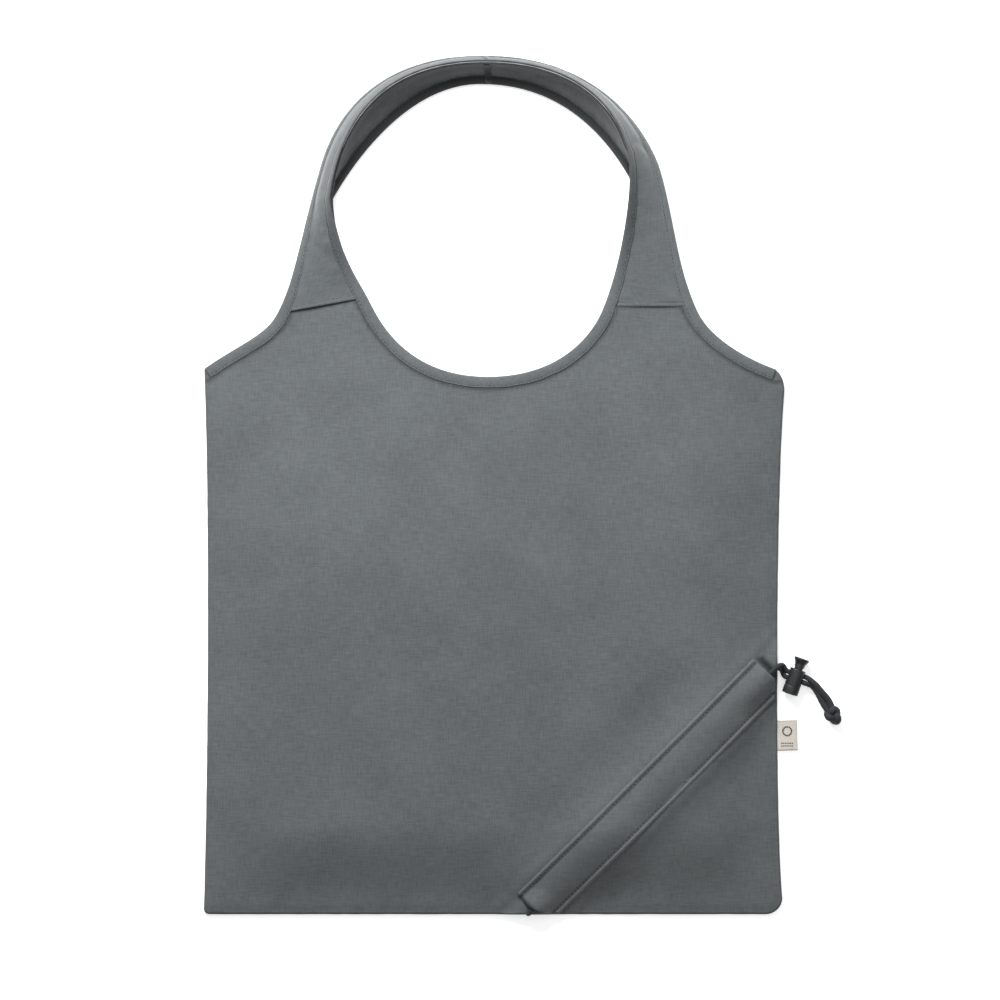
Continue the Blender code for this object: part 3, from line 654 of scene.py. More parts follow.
def facing_out(made):
    """Turns a closed mesh's faces outwards."""
    shape = bmesh.new()
    shape.from_mesh(made.data)
    bmesh.ops.recalc_face_normals(shape, faces=shape.faces)
    shape.to_mesh(made.data)
    shape.free()
    return made


def stitches(name, path, normals, look="thread", pitch=STITCH_PITCH, stitch=STITCH_LENGTH, fat=1.0,
             painted_shades=None):
    """A row of short thread stitches, each a small capsule that dips into the cloth at both ends."""
    radius = STITCH_RADIUS * fat
    sides = 6
    profile = ((-0.5, 0.35, -0.8), (-0.3, 0.95, 0.0), (0.0, 1.05, 0.35), (0.3, 0.95, 0.0), (0.5, 0.35, -0.8))
    lengths = travelled(path)
    count = int(lengths[-1] / pitch)
    verts, faces, uvs, wear_and_painted_light_values = [], [], [], []
    for k, part in spots(lengths, [lengths[-1] * (n + 0.5) / count for n in range(count)]):
        centre = path[k].lerp(path[k + 1], part)
        forward = (path[k + 1] - path[k]).normalized()
        up = normals[k].lerp(normals[k + 1], part).normalized()
        side = forward.cross(up).normalized()
        base = len(verts)
        for along, full, lift in profile:
            middle = centre + forward * along * stitch + up * lift * STITCH_RADIUS
            for i in range(sides):
                turn = 2 * math.pi * i / sides
                verts.append(middle + (side * math.cos(turn) * 1.25 + up * math.sin(turn)) * full * radius)
        for r in range(len(profile) - 1):
            for i in range(sides):
                j = (i + 1) % sides
                faces.append([base + r * sides + i, base + r * sides + j,
                              base + (r + 1) * sides + j, base + (r + 1) * sides + i])
        faces.append([base + i for i in reversed(range(sides))])
        faces.append([base + (len(profile) - 1) * sides + i for i in range(sides)])
        uvs += [(v.x, v.y) for v in verts[base:]]
        # Each stitch is darkened by the painted shade of the tape under it.
        wear_and_painted_light_values += [-painted_shades[k] if painted_shades else 0.0] * (len(verts) - base)
    return facing_out(add_mesh(name, verts, faces, uvs, look, wear_and_painted_light=wear_and_painted_light_values))


def stand_in(made, body, *nodes):
    """The piece goes with a body, and is shown instead of CAD nodes."""
    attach(made, body)
    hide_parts(*nodes)
    return made


def bend(side, *pieces):
    """Bakes each piece's placement into its mesh."""
    for made in pieces:
        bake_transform(made)


# ---------------------------------------------------------------- panels

EDGE_ROWS = (1.3, 2.6, 4.0, 5.6, 7.4, 9.4, 11.6)    # from the edge to the finer rows, in millimetres
FIELD_START = 12.6 * MM         # from the edge to the even field; nearer, its points keep clear of the rows


def panel_points(outline):
    """Mesh points of a panel: its outline, finer rows beside the sewn edges, and an even field."""
    edge = finder(outline)
    rows = []
    for offset in EDGE_ROWS:
        for point, following in zip(outline, outline[1:] + outline[:1]):
            forward = (following - point).normalized()
            at = (point + following) / 2 + Vector((-forward.y, forward.x)) * offset * MM
            if inside(at.x, at.y, outline) and edge.find((at.x, at.y, 0.0))[2] > 0.93 * offset * MM:
                rows.append(at)
    row_tree = finder(rows)
    field = []
    tall = STEP * math.sqrt(3) / 2
    for row in range(int(PANEL_TALL / tall) + 1):
        for column in range(int((RIGHT_X + 2 * MM - LEFT_X) / STEP) + 1):
            x = LEFT_X + (column + 0.5 * (row % 2)) * STEP
            y = (row + 0.5) * tall
            away = edge.find((x, y, 0.0))[2]
            clear = away > FIELD_START or (away > 2 * MM and row_tree.find((x, y, 0.0))[2] > 2.2 * MM)
            if clear and inside(x, y, outline):
                field.append(Vector((x, y)))
    return outline + rows + field


def painted_seam_shade(x, y):
    """Painted shade: darker cloth in the creases beside the tapes, along the shoulder seams and in the open
    mouth at the casing's upper end.
    """
    along, across = casing_place(x, y)
    # Painted shadow in the open mouth at the casing's upper end.
    shade = 1.4 * hump(along - 225 * MM, 2.2 * MM) * smooth((14.5 * MM - abs(across + 1 * MM)) / (3 * MM))
    for name, tree in SEAM_TREES.items():
        away = tree.find((x, y, 0.0))[2]
        if name.startswith("shoulder"):
            shade = max(shade, 1.2 * hump(away, 1.6 * MM))
        elif name in ("neck", "armhole_left", "armhole_right"):
            shade = max(shade, 0.55 * hump(away - BIND_WIDTH, 1.3 * MM))
    return -shade


OUTLINE = panel_outline()
OUTLINE_FACE = [list(range(len(OUTLINE)))]
FLAT, _, FLAT_FACES, _, _, _ = delaunay_2d_cdt(panel_points(OUTLINE), [], OUTLINE_FACE, 1, 1e-7)


def build_panel(name, surface):
    verts = [Vector((*p, surface(*p))) for p in FLAT]
    uvs = [tuple(p) for p in FLAT]
    wear_and_painted_light_values = [painted_seam_shade(*p) for p in FLAT]
    return add_mesh(name, verts, FLAT_FACES, uvs, "nylon_fabric", wear_and_painted_light=wear_and_painted_light_values, thickness=CLOTH)

front_panel = stand_in(build_panel("front_cloth", front_surface), "bag", "front_panel")
back_panel = stand_in(build_panel("back_cloth", back_surface), "bag", "back_panel")


# ---------------------------------------------------------------- handle strips

def handle_edges():
    """Edges of both handle loops: front outer, front inner, back outer, back inner."""
    count = HANDLE_STATIONS
    outer = resample(outer_edge(), count + 1)
    ridge = resample(front_inner_edge(), count + 1)
    inner = resample(back_inner_edge(), count + 1)
    front_out, front_in, back_out, back_in = [], [], [], []
    drop = BACK_STRIP_Z - FRONT_STRIP_Z
    for i in range(count + 1):
        s = i / count
        rise = smooth(s / RISE_LEFT) if s < 0.5 else smooth((1.0 - s) / RISE_RIGHT)
        low = FRONT_STRIP_Z + (OUTER_EDGE_Z - FRONT_STRIP_Z) * rise ** 4
        high = FRONT_STRIP_Z + (RIDGE_Z - FRONT_STRIP_Z) * rise
        a = Vector((*outer[i], low))
        b = Vector((*ridge[i], high))
        across = (b - a).normalized()
        reach = (b - a).length
        below = Vector((*heading(outer, i), 0.0)).cross(across).normalized() * TUCK_GAP
        front_out.append(a)
        front_in.append(b)
        floor = BACK_STRIP_Z + BACK_STRIP_RISE * rise
        tucked = a + across * (reach - 1.0 * MM) * rise ** 3 + below * min(1.0, 1.7 * rise)
        tucked.z = max(tucked.z + drop * (1.0 - rise), floor)
        back_out.append(tucked)
        back_in.append(Vector((*inner[i], floor)))
    return {"front": (front_out, front_in), "back": (back_out, back_in)}


def up_normals(side_a, side_b):
    """The strip's normal on the side that faces up or outwards, at each pair of edge points."""
    sums = [a + b for a, b in zip(side_a, side_b)]
    return [(b - a).cross(heading(sums, i)).normalized() for i, (a, b) in enumerate(zip(side_a, side_b))]


# Folds pressed into the front strips: two ends, depth and width, in millimetres
CREASES = (
    ((-123, 449), (-104, 431), 0.55, 1.3),
    ((-118, 470), (-108, 452), 0.45, 4.0),
    ((-120, 424), (-112, 402), 0.3, 3.0),
    ((94, 512), (106, 505), 0.7, 1.6),
    ((96, 470), (109, 463), 0.5, 1.8),
    ((92, 446), (106, 452), 0.35, 5.0),
)


def crease_depth(x, y):
    depth = 0.0
    at = Vector((x, y))
    for start, end, deep, wide in CREASES:
        a, b = Vector(start) * MM, Vector(end) * MM
        part = min(max((at - a).dot(b - a) / (b - a).length_squared, 0.0), 1.0)
        depth += deep * MM * hump((at - a.lerp(b, part)).length, wide * MM)
    return depth


def raised(a, b):
    """How far a handle strip has turned upright at a station, 0 to 1."""
    return smooth((abs(b.z - a.z) - 6 * MM) / (11 * MM))


def crown_at(wide, t):
    return CROWN * 4 * t * (1 - t) * smooth(wide / (30 * MM))


def sag_at(side, a, b, t):
    """How far the back strip hangs in at a share of its width."""
    return BACK_SAG * 4 * t * (1 - t) * raised(a, b) if side == "back" else 0.0


def strip_surface(side, a, b, up, along, t):
    """A point of a handle strip: a slight crown, soft unevenness, creases, and puckers at its inner edge."""
    wide = (b - a).length
    free = smooth((min(t, 1 - t) * wide - 4 * MM) / (8 * MM))
    crown = crown_at(wide, t) * free
    seed = 3.0 if side == "front" else 13.0
    loose = noise.noise(Vector((along * 26.0, t * 1.6, seed))) * 0.75 * MM * free
    inner = ripple(along, 4.6 * MM, seed + 2.0) * 0.28 * MM * hump((1 - t) * wide - 8 * MM, 5 * MM)
    outer = ripple(along, 6.0 * MM, seed + 4.0) * 0.10 * MM * hump(t * wide - 7 * MM, 4 * MM)
    rough = (0.10 if side == "back" else 0.04) * MM
    fuzz = noise.noise(Vector((along * 420.0, t * wide * 420.0, seed))) * rough
    at = a.lerp(b, t)
    dent = crease_depth(at.x, at.y) if side == "front" else sag_at(side, a, b, t)
    return at + up * (crown + loose + inner + outer + fuzz - dent)


def build_strip(name, side, out, inn, ups, alongs):
    verts, uvs, wear_and_painted_light_values = [], [], []
    for a, b, up, along in zip(out, inn, ups, alongs):
        wide = (b - a).length
        for k in range(ACROSS + 1):
            t = k / ACROSS
            verts.append(strip_surface(side, a, b, up, along, t))
            uvs.append((t * wide, along))
            # Painted shade on the back strip where it stands up under the ridge.
            wear_and_painted_light_values.append(-0.45 * raised(a, b) if side == "back" else 0.0)
    faces = grid_faces(len(out) - 1, ACROSS + 1, turned=True)
    return add_mesh(name, verts, faces, uvs, "nylon_fabric", wear_and_painted_light=wear_and_painted_light_values, thickness=CLOTH)


def lengthened(points, at_start, by, lift):
    """The same edge with one point more past its first or last one."""
    end, nearer = (points[0], points[1]) if at_start else (points[-1], points[-2])
    more = end + (end - nearer).normalized() * by + lift
    return [more] + points if at_start else points + [more]


HANDLES = handle_edges()
STRIP_TUCK = 1.5 * MM           # by which a strip's end passes its shoulder or centre seam
STRIP_STEP = UP * 0.35 * MM     # and lies over the other piece
handle_pieces = {}
STRIP_FACTS = {}
for side, (out, inn) in HANDLES.items():
    ups = up_normals(out, inn)
    alongs = travelled([(a + b) / 2 for a, b in zip(out, inn)])
    half = len(out) // 2
    for part, low, high in (("left", 0, half), ("right", half, len(out) - 1)):
        at_start = part == "left"
        a, b = (lengthened(edge[low:high + 1], at_start, STRIP_TUCK, STRIP_STEP) for edge in (out, inn))
        u, s = ups[low:high + 1], alongs[low:high + 1]
        u = [u[0]] + u if at_start else u + [u[-1]]
        s = [-STRIP_TUCK] + s if at_start else s + [s[-1] + STRIP_TUCK]
        name = f"{side}_handle_{part}"
        made = build_strip(name + "_cloth", side, a, b, u, s)
        bend(side, made)
        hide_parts(name)
        widths = [(q - p).length for p, q in zip(a, b)]
        flat_area = sum((w + v) / 2 * (n - m) for w, v, m, n in zip(widths, widths[1:], s, s[1:]))
        STRIP_FACTS[name] = (max(widths), s[-1] - s[0], flat_area)
        handle_pieces[name] = made


# ---------------------------------------------------------------- bindings

def panel_stations(line, surface, turn):
    """(edge point, direction into the cloth, normal) along a panel's bound edge."""
    stations = []
    reach = 8 * MM
    for i, p in enumerate(line):
        forward = heading(line, i)
        flat = Vector((forward.y, -forward.x)).normalized() * turn * reach
        here = surface(p.x, p.y)
        into = Vector((flat.x, flat.y, surface(p.x + flat.x, p.y + flat.y) - here)).normalized()
        normal = (UP - into * into.dot(UP)).normalized()
        stations.append((Vector((p.x, p.y, here)), into, normal))
    return stations


def strip_stations(edge, other, ups, sag=0.0):
    """The same for a handle strip's edge, with its slope where the strip hangs in by the sag."""
    stations = []
    for p, q, up in zip(edge, other, ups):
        wide = (q - p).length
        dip = 3.2 * sag * raised(p, q) / wide
        into = ((q - p) / wide - up * dip).normalized()
        stations.append((p.copy(), into, (up - into * up.dot(into)).normalized()))
    return stations


def eased(stations, looped, joins):
    """The same stations with their kinks smoothed out near each join between panel and handle."""
    count = len(stations)
    for _ in range(30):
        made = list(stations)
        for join in joins:
            for k in range(-14, 15):
                i = (join + k) % count if looped else join + k
                if not looped and not 0 < i < count - 1:
                    continue
                before, here, after = stations[i - 1], stations[i], stations[(i + 1) % count]
                share = 0.5 * hump(k, 8.0)
                point, into, normal = (h.lerp((x + y) / 2, share) for x, h, y in zip(before, here, after))
                made[i] = (point, into.normalized(), normal.normalized())
        stations = made
    return stations


def tape_section(width, swell, groove):
    """Half of a folded tape's section, (into the cloth, off the cloth), from its inner edge to its fold."""
    deep = width - BIND_OUT
    outer = 0.78 * MM * swell
    seam = deep - SEAM_LINE
    return [(deep, 0.42 * MM), (deep + 0.03 * MM, 0.62 * MM), (deep - 0.35 * MM, outer + 0.05 * MM),
            (seam + 0.5 * MM, outer), (seam, outer - groove), (seam - 0.5 * MM, outer),
            (deep * 0.45, outer + 0.12 * MM), (0.3 * MM, outer), (-BIND_OUT * 0.7, outer * 0.62)]


def build_binding(name, stations, widths, looped, rough, seed, painted_shades):
    """A tape folded over an edge, and the stitches that hold it on both faces.

    painted_shades says how much painted shade darkens its two faces at each station, the one that faces up
    first.
    """
    rings, wear_and_painted_light_values, row_front, row_back = [], [], [], []
    alongs = travelled([point for point, _, _ in stations])
    for (point, into, normal), along, plain_width, (seen, hidden) in zip(stations, alongs, widths, painted_shades):
        wave = ripple(along, 5.2 * MM, seed)
        swell = 1.0 + 0.10 * rough * wave + 0.07 * ripple(along, 17 * MM, seed + 3)
        width = plain_width + (0.22 * rough * wave + 0.12 * ripple(along, 13 * MM, seed + 5)) * MM
        groove = (0.24 + 0.05 * wave) * MM
        half = tape_section(width, swell, groove)
        front = [point + into * a + normal * b for a, b in half]
        fold = [point - into * BIND_OUT]
        back = [point + into * a - normal * b for a, b in reversed(half)]
        deep = half[0][0] - 0.2 * MM
        inside_faces = ((deep, -0.32 * MM), (0.0, -0.32 * MM), (0.0, 0.32 * MM), (deep, 0.32 * MM))
        lining = [point + into * a + normal * b for a, b in inside_faces]
        rings.append(front + fold + back + lining)
        # Painted shade in the stitched groove; the inner edge and the fold are lighter, partly wear and
        # partly painted highlight.
        groove_shade = -0.75 - 0.25 * wave
        face = [0.1, 0.2, 0.15, 0.05, groove_shade, 0.05, 0.0, 0.08, 0.25]
        wear_and_painted_light_values += [w - seen for w in face]
        wear_and_painted_light_values += [w - hidden for w in [0.3] + list(reversed(face)) + [0.0] * 4]
        seam, off = half[4]
        row_front.append(point + into * seam + normal * (off + 0.05 * MM))
        row_back.append(point + into * seam - normal * (off + 0.05 * MM))
    ups = [normal for _, _, normal in stations]
    verts, faces, uvs = loft(rings, looped)
    made = facing_out(add_mesh(name, verts, faces, uvs, "binding_tape", wear_and_painted_light=wear_and_painted_light_values))
    if looped:
        for line in (row_front, row_back, ups):
            line.append(line[0])
    row = stitches(name + "_stitches", row_front, ups, painted_shades=[seen for seen, _ in painted_shades])
    under_row = stitches(name + "_under_stitches", row_back, [-u for u in ups], painted_shades=[h for _, h in painted_shades])
    return [made, row, under_row]


def graded(count_panel_a, count_handle, count_panel_b, panel_width, handle_width):
    """Tape widths along a binding that narrows from the panels to the handle."""
    ease = 18
    widths = []
    total = count_panel_a + count_handle + count_panel_b
    for i in range(total):
        near = min(max(i - count_panel_a, 0), max(total - count_panel_b - 1 - i, 0))
        widths.append(panel_width + (handle_width - panel_width) * smooth(near / ease))
    return widths


def faded_in(count, seen, hidden):
    """Painted shade of a tape along a handle, that fades in from both of its ends."""
    fades = [smooth(min(i, count - i) / SHADE_FADE) for i in range(count)]
    return [(seen * t, hidden * t) for t in fades]


SHADE_FADE = 40                 # stations
PLAIN = (0.0, 0.0)
# Painted shade of each tape's upward and hidden face along the raised handle; the back loop's tapes lie in
# shade.
OUTER_PAINTED_SHADES = {"front": PLAIN, "back": (1.2, 1.2)}
INNER_PAINTED_SHADES = {"front": (0.45, 1.3), "back": (1.25, 1.25)}
SURFACES = {"front": front_surface, "back": back_surface}
for number, side in enumerate(("front", "back")):
    out, inn = HANDLES[side]
    ups = up_normals(out, inn)
    surface = SURFACES[side]
    sag = BACK_SAG if side == "back" else 0.0

    left = panel_stations(SEAM_PATHS["armhole_left"], surface, 1.0)
    right = panel_stations(list(reversed(SEAM_PATHS["armhole_right"])), surface, 1.0)
    arch = strip_stations(out, inn, ups, sag)[1:-1]
    outer = eased(left + arch + right, False, (len(left), len(left) + len(arch)))
    widths = graded(len(left), len(arch), len(right), BIND_WIDTH, HANDLE_BIND_WIDTH - 0.4 * MM)
    painted_shades = [PLAIN] * len(left) + faded_in(len(arch), *OUTER_PAINTED_SHADES[side]) + [PLAIN] * len(right)
    outer_pieces = build_binding(f"{side}_outer_tape", outer, widths, False, 0.7, 41.0 + number, painted_shades)
    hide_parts(f"armhole_binding_left_{side}", f"armhole_binding_right_{side}",
                f"{side}_handle_outer_binding")

    neck = list(reversed(panel_stations(list(reversed(SEAM_PATHS["neck"])), surface, -1.0)))
    arch = list(reversed(strip_stations(inn, out, ups, sag)))[1:-1]
    ring = eased(neck + arch, True, (len(neck), 0))
    widths = graded(0, len(arch), len(neck), BIND_WIDTH, HANDLE_BIND_WIDTH + 0.5 * MM)
    widths = widths[len(arch):] + widths[:len(arch)]
    painted_shades = [PLAIN] * len(neck) + faded_in(len(arch), *INNER_PAINTED_SHADES[side])
    inner_pieces = build_binding(f"{side}_inner_tape", ring, widths, True, 1.1, 51.0 + number, painted_shades)
    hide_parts(f"neck_binding_{side}", f"{side}_handle_inner_binding")
    bend(side, *outer_pieces, *inner_pieces)


# ---------------------------------------------------------------- seams

def edge_roll(name, line, stood_for):
    """The turned edge where the two panels are sewn together."""
    rings, wear_and_painted_light_values = [], []
    sides = 12
    turns = [2 * math.pi * k / sides for k in range(sides)]
    for i, (p, along) in enumerate(zip(line, travelled(line))):
        forward = heading(line, i).normalized()
        into = Vector((-forward.y, forward.x, 0.0))
        top, under = front_surface(*p), back_surface(*p)
        centre = Vector((*p, (top + under) / 2)) + into * ROLL_INSET
        wide = ROLL_HALF_WIDTH * (1.0 + 0.10 * ripple(along, 9 * MM, 61.0))
        tall = (top - under) / 2 + ROLL_ROOM
        rings.append([centre + into * math.cos(turn) * wide + UP * math.sin(turn) * tall for turn in turns])
        wear_and_painted_light_values += [0.5 * max(-math.cos(turn), 0.0) for turn in turns]
    verts, faces, uvs = loft(rings)
    made = facing_out(add_mesh(name, verts, faces, uvs, "nylon_fabric", wear_and_painted_light=wear_and_painted_light_values))
    return stand_in(made, "bag", stood_for)


seam_pieces = [
    edge_roll("side_roll_left", SEAM_PATHS["side_left"], "side_seam_tape_left"),
    edge_roll("side_roll_right", SEAM_PATHS["side_right"], "side_seam_tape_right"),
    edge_roll("bottom_roll", SEAM_PATHS["bottom"], "bottom_seam_tape"),
]


def centre_seam(side):
    """The seam that joins a handle's two strips at the top, flattened to one side and sewn down."""
    out, inn = HANDLES[side]
    ups = up_normals(out, inn)
    half = len(out) // 2
    lift, dark = SEAM_LIFT[side], SEAM_PAINTED_SHADE[side]
    steps = 8
    rings = []
    for i in (half - 1, half, half + 1):
        a, b, up = out[i], inn[i], ups[i]
        wide = (b - a).length
        low = 0.8 * MM / wide
        end = 0.0 if i == half else 0.25 * MM
        top, under = [], []
        for n in range(steps + 1):
            t = low + (1.0 - 2 * low) * n / steps
            base = crown_at(wide, t) - sag_at(side, a, b, t)
            edge = 0.35 * MM * (hump(t * wide, 4 * MM) + hump((1 - t) * wide, 4 * MM))
            top.append(a.lerp(b, t) + up * (base + lift + edge - end))
            under.append(a.lerp(b, t) + up * (base + 0.2 * MM))
        rings.append(top + list(reversed(under)))
    verts, faces, uvs = loft(rings)
    # Painted shade: the seam bar is darkened, the back one most.
    wear_and_painted_light_values = [-dark] * len(verts)
    made = add_mesh(f"{side}_centre_seam", verts, faces, uvs, "binding_tape", wear_and_painted_light=wear_and_painted_light_values)
    bend(side, facing_out(made))
    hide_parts(f"{side}_handle_seam_tape")


SEAM_LIFT = {"front": 0.60 * MM, "back": 0.85 * MM}
# How much painted shade darkens each centre seam
SEAM_PAINTED_SHADE = {"front": 0.9, "back": 1.75}
for side in ("front", "back"):
    centre_seam(side)


def shoulder_stitches(side, part):
    """The row that holds the turned end of a handle strip on its panel."""
    out, inn = HANDLES[side]
    ups = up_normals(out, inn)
    i = 1 if part == "left" else len(out) - 2
    low, high, steps = 0.11, 0.89, 24
    points = []
    for n in range(steps + 1):
        t = low + (high - low) * n / steps
        points.append(strip_surface(side, out[i], inn[i], ups[i], 0.0, t) + ups[i] * (CLOTH / 2 + 0.05 * MM))
    bend(side, stitches(f"{side}_shoulder_stitches_{part}", points, [ups[i]] * len(points)))


for side in ("front", "back"):
    for part in ("left", "right"):
        shoulder_stitches(side, part)


# ---------------------------------------------------------------- casing

CASING_TOP, CASING_BOTTOM = 14.9 * MM, -14.3 * MM
CASING_SEAM_INSET = 3.3 * MM    # from its edges to its rows of stitches


def casing_limits(across):
    """Where the casing starts and ends along its middle line, at a distance across it."""
    if across > -5 * MM:
        low = 2.45 * MM - (across + 5.05 * MM) * 0.105 - 1.2 * MM * hump(across - 1 * MM, 7 * MM)
        high = 222.3 * MM - (across + 4.94 * MM) * 0.05
    else:
        low = 2.45 * MM - (across + 5.05 * MM) * 1.005
        high = 222.3 * MM + (across + 4.94 * MM) * 0.994
    return low, high


def casing_edge(across):
    """Distance in from the casing's nearer long edge."""
    return min(CASING_TOP - across, across - CASING_BOTTOM)


def casing_shape(along, across):
    """Height of the front casing's cloth above its own CAD underside: turned edges and soft unevenness."""
    edge = casing_edge(across)
    turned = 0.62 * MM * smooth(1.0 - abs(edge - 1.3 * MM) / (1.5 * MM))
    turned -= 0.30 * MM * hump(edge - 4.0 * MM, 1.6 * MM)
    soft = noise.noise(Vector((along * 30.0, across * 70.0, 71.0))) * 0.55 * MM * smooth(edge / (6 * MM))
    tiny = ripple(along, 5.0 * MM, 73.0) * 0.12 * MM * hump(edge - 3 * MM, 3 * MM)
    return turned + soft + tiny


def casing_top_z(x, y):
    across = abs(casing_place(x, y)[1])
    room = CORD + 3 * GAP - casing_sink(x, y) / hump(across, 6 * MM)
    return front_z(x, y) + spread_lift(x, y) + SHEET + GAP + room * smooth((13.5 * MM - across) / (13 * MM))


def casing_columns():
    """Distances across the casing of the mesh lines along it, finer near both edges."""
    near_edge = [0.0, 0.3, 0.7, 1.1, 1.6, 2.1, 2.6, 3.2, 3.9, 4.7, 5.6]
    inner = [7.0 + 1.5 * k for k in range(11)]
    whole = (CASING_TOP - CASING_BOTTOM) / MM
    return [CASING_BOTTOM + d * MM for d in near_edge + inner + [whole - d for d in reversed(near_edge)]]


def build_casing(name, height, stood_for):
    columns = casing_columns()
    rows = 170
    verts, uvs, wear_and_painted_light_values = [], [], []
    for r in range(rows + 1):
        for across in columns:
            low, high = casing_limits(across)
            along = low + (high - low) * r / rows
            at = CASING_LOW + CASING_ALONG * along + CASING_ACROSS * across
            verts.append(Vector((*at, height(*at, along, across))))
            uvs.append(tuple(at))
            edge = casing_edge(across)
            # Painted shadow at the casing's open lower end, painted shade along its sewn lines, and a lighter
            # turned edge, partly wear and partly painted highlight.
            cut_end_shadow = 1.3 * hump(along - low, 1.3 * MM) if across > -6 * MM else 0.0
            folded_edge = 0.75 * hump(edge - 1.3 * MM, 0.9 * MM)
            sewn_line_shade = 0.9 * hump(edge - CASING_SEAM_INSET, 0.8 * MM)
            wear_and_painted_light_values.append(folded_edge - sewn_line_shade - cut_end_shadow)
    faces = grid_faces(rows, len(columns))
    made = add_mesh(name, verts, faces, uvs, "nylon_fabric", wear_and_painted_light=wear_and_painted_light_values, thickness=CLOTH)
    return stand_in(made, "bag", stood_for)


def casing_front_height(x, y, along, across):
    return casing_top_z(x, y) + CASING_SHEET / 2 + casing_shape(along, across)


def casing_back_height(x, y, along, across):
    return CASING_SHEET / 2 + 0.10 * MM * smooth(casing_edge(across) / (4 * MM))


casing_front = build_casing("casing_front_cloth", casing_front_height, "casing_front")
casing_back = build_casing("casing_back_cloth", casing_back_height, "casing_back")


def casing_row(name, across):
    """A row of stitches along the front casing, that stops short of its two ends."""
    low, high = casing_limits(across)
    margin, steps = 2 * MM, 119
    points = []
    for i in range(steps + 1):
        along = low + margin + (high - low - 2 * margin) * i / steps
        at = CASING_LOW + CASING_ALONG * along + CASING_ACROSS * across
        points.append(Vector((*at, casing_front_height(*at, along, across) + CLOTH / 2 + 0.03 * MM)))
    made = stitches(name, points, [UP] * len(points))
    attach(made, "bag")
    return made


casing_rows = [casing_row("casing_stitches_upper", CASING_TOP - CASING_SEAM_INSET),
               casing_row("casing_stitches_lower", CASING_BOTTOM + CASING_SEAM_INSET)]


# ---------------------------------------------------------------- drawcord, knot

def braid(name, points, radius=CORD / 2, sides=24, swell=0.0):
    """A round braid along a line: two sets of strands that wind round it both ways and cross over each other.

    swell thickens its far half.
    """
    rings, wear_and_painted_light_values = [], []
    side = None
    for i, (p, along) in enumerate(zip(points, travelled(points))):
        forward = heading(points, i).normalized()
        side = forward.cross(UP) if side is None else side - forward * side.dot(forward)
        side.normalize()
        up = side.cross(forward)
        ring = []
        full = radius + swell * smooth((i / (len(points) - 1) - 0.5) / 0.4)
        wound = 2 * math.pi * along / BRAID_PITCH
        for k in range(sides):
            turn = 2 * math.pi * k / sides
            a = math.sin(BRAID_STRANDS / 2 * turn + wound)
            b = math.sin(BRAID_STRANDS / 2 * turn - wound)
            weave = max(abs(a), abs(b)) if a * b > 0 else min(abs(a), abs(b)) + 0.35
            ring.append(p + (side * math.cos(turn) + up * math.sin(turn)) * full * (0.88 + 0.12 * weave))
            # Painted shade in the dips between strands; the crests are lighter.
            wear_and_painted_light_values.append(weave - 0.5)
        rings.append(ring)
    verts, faces, uvs = loft(rings)
    return facing_out(add_mesh(name, verts, faces, uvs, "braided_cord", wear_and_painted_light=wear_and_painted_light_values))


def cord_points_in_casing():
    """Down along the front casing, round the bottom seam and back up along the rear casing."""
    low_z = CASING_SHEET + GAP + CORD / 2
    line = []
    for i in range(17):
        at = CASING_HIGH.lerp(CASING_LOW, i / 16)
        over = front_z(*at) + spread_lift(*at) - casing_sink(*at)
        line.append(Vector((*at, over + SHEET + 2 * GAP + CORD / 2)))
    rise = (line[-1].z - low_z) / 2
    for k in range(1, 6):
        angle = math.pi * k / 6
        at = CASING_LOW - CASING_ALONG * (CORD_TURN + rise * math.sin(angle))
        line.append(Vector((*at, low_z + rise * (1.0 + math.cos(angle)))))
    for i in range(17):
        at = CASING_LOW.lerp(CASING_HIGH, i / 16)
        line.append(Vector((*at, low_z)))
    return through(line, 0.5 * MM)


def strand_route(side, mouth):
    """A free cord end, from its mouth through the lock to the knot; side is +1 above, -1 below."""
    middle = LOCK_CENTRE + LOCK_UP * STRAND * side
    points = list(mouth)
    for along in (-7.0, -2.0, 3.5, 7.6):
        points.append(middle + LOCK_ALONG * along * MM)
    # Where the two ends lie together, and how far each is from there, sideways and up or down
    for place, share, lift in (((213.2, 151.7, 5.0), 1.25, 1.3), ((217.0, 147.0, 4.7), 1.3, 1.2),
                               ((221.2, 140.6, 4.8), 2.0, 0.5), ((225.1, 133.6, 5.6), 1.4, 0.0)):
        points.append((Vector(place) + (TAIL_ACROSS * share + UP * lift) * side) * MM)
    return points


def knot_points():
    """One pass of an overhand knot pulled tight."""
    points = []
    steps = 240
    for i in range(steps + 1):
        t = 2 * math.pi * i / steps * 0.97
        x = math.sin(t) + 2 * math.sin(2 * t)
        y = math.cos(t) - 2 * math.cos(2 * t)
        z = -math.sin(3 * t)
        points.append(KNOT_CENTRE + Vector((x * 1.22, y * 1.50, z * 2.2)) * MM)
    turn = Matrix.Rotation(math.radians(30.0), 3, "Z")
    return [KNOT_CENTRE + turn @ (p - KNOT_CENTRE) for p in points]


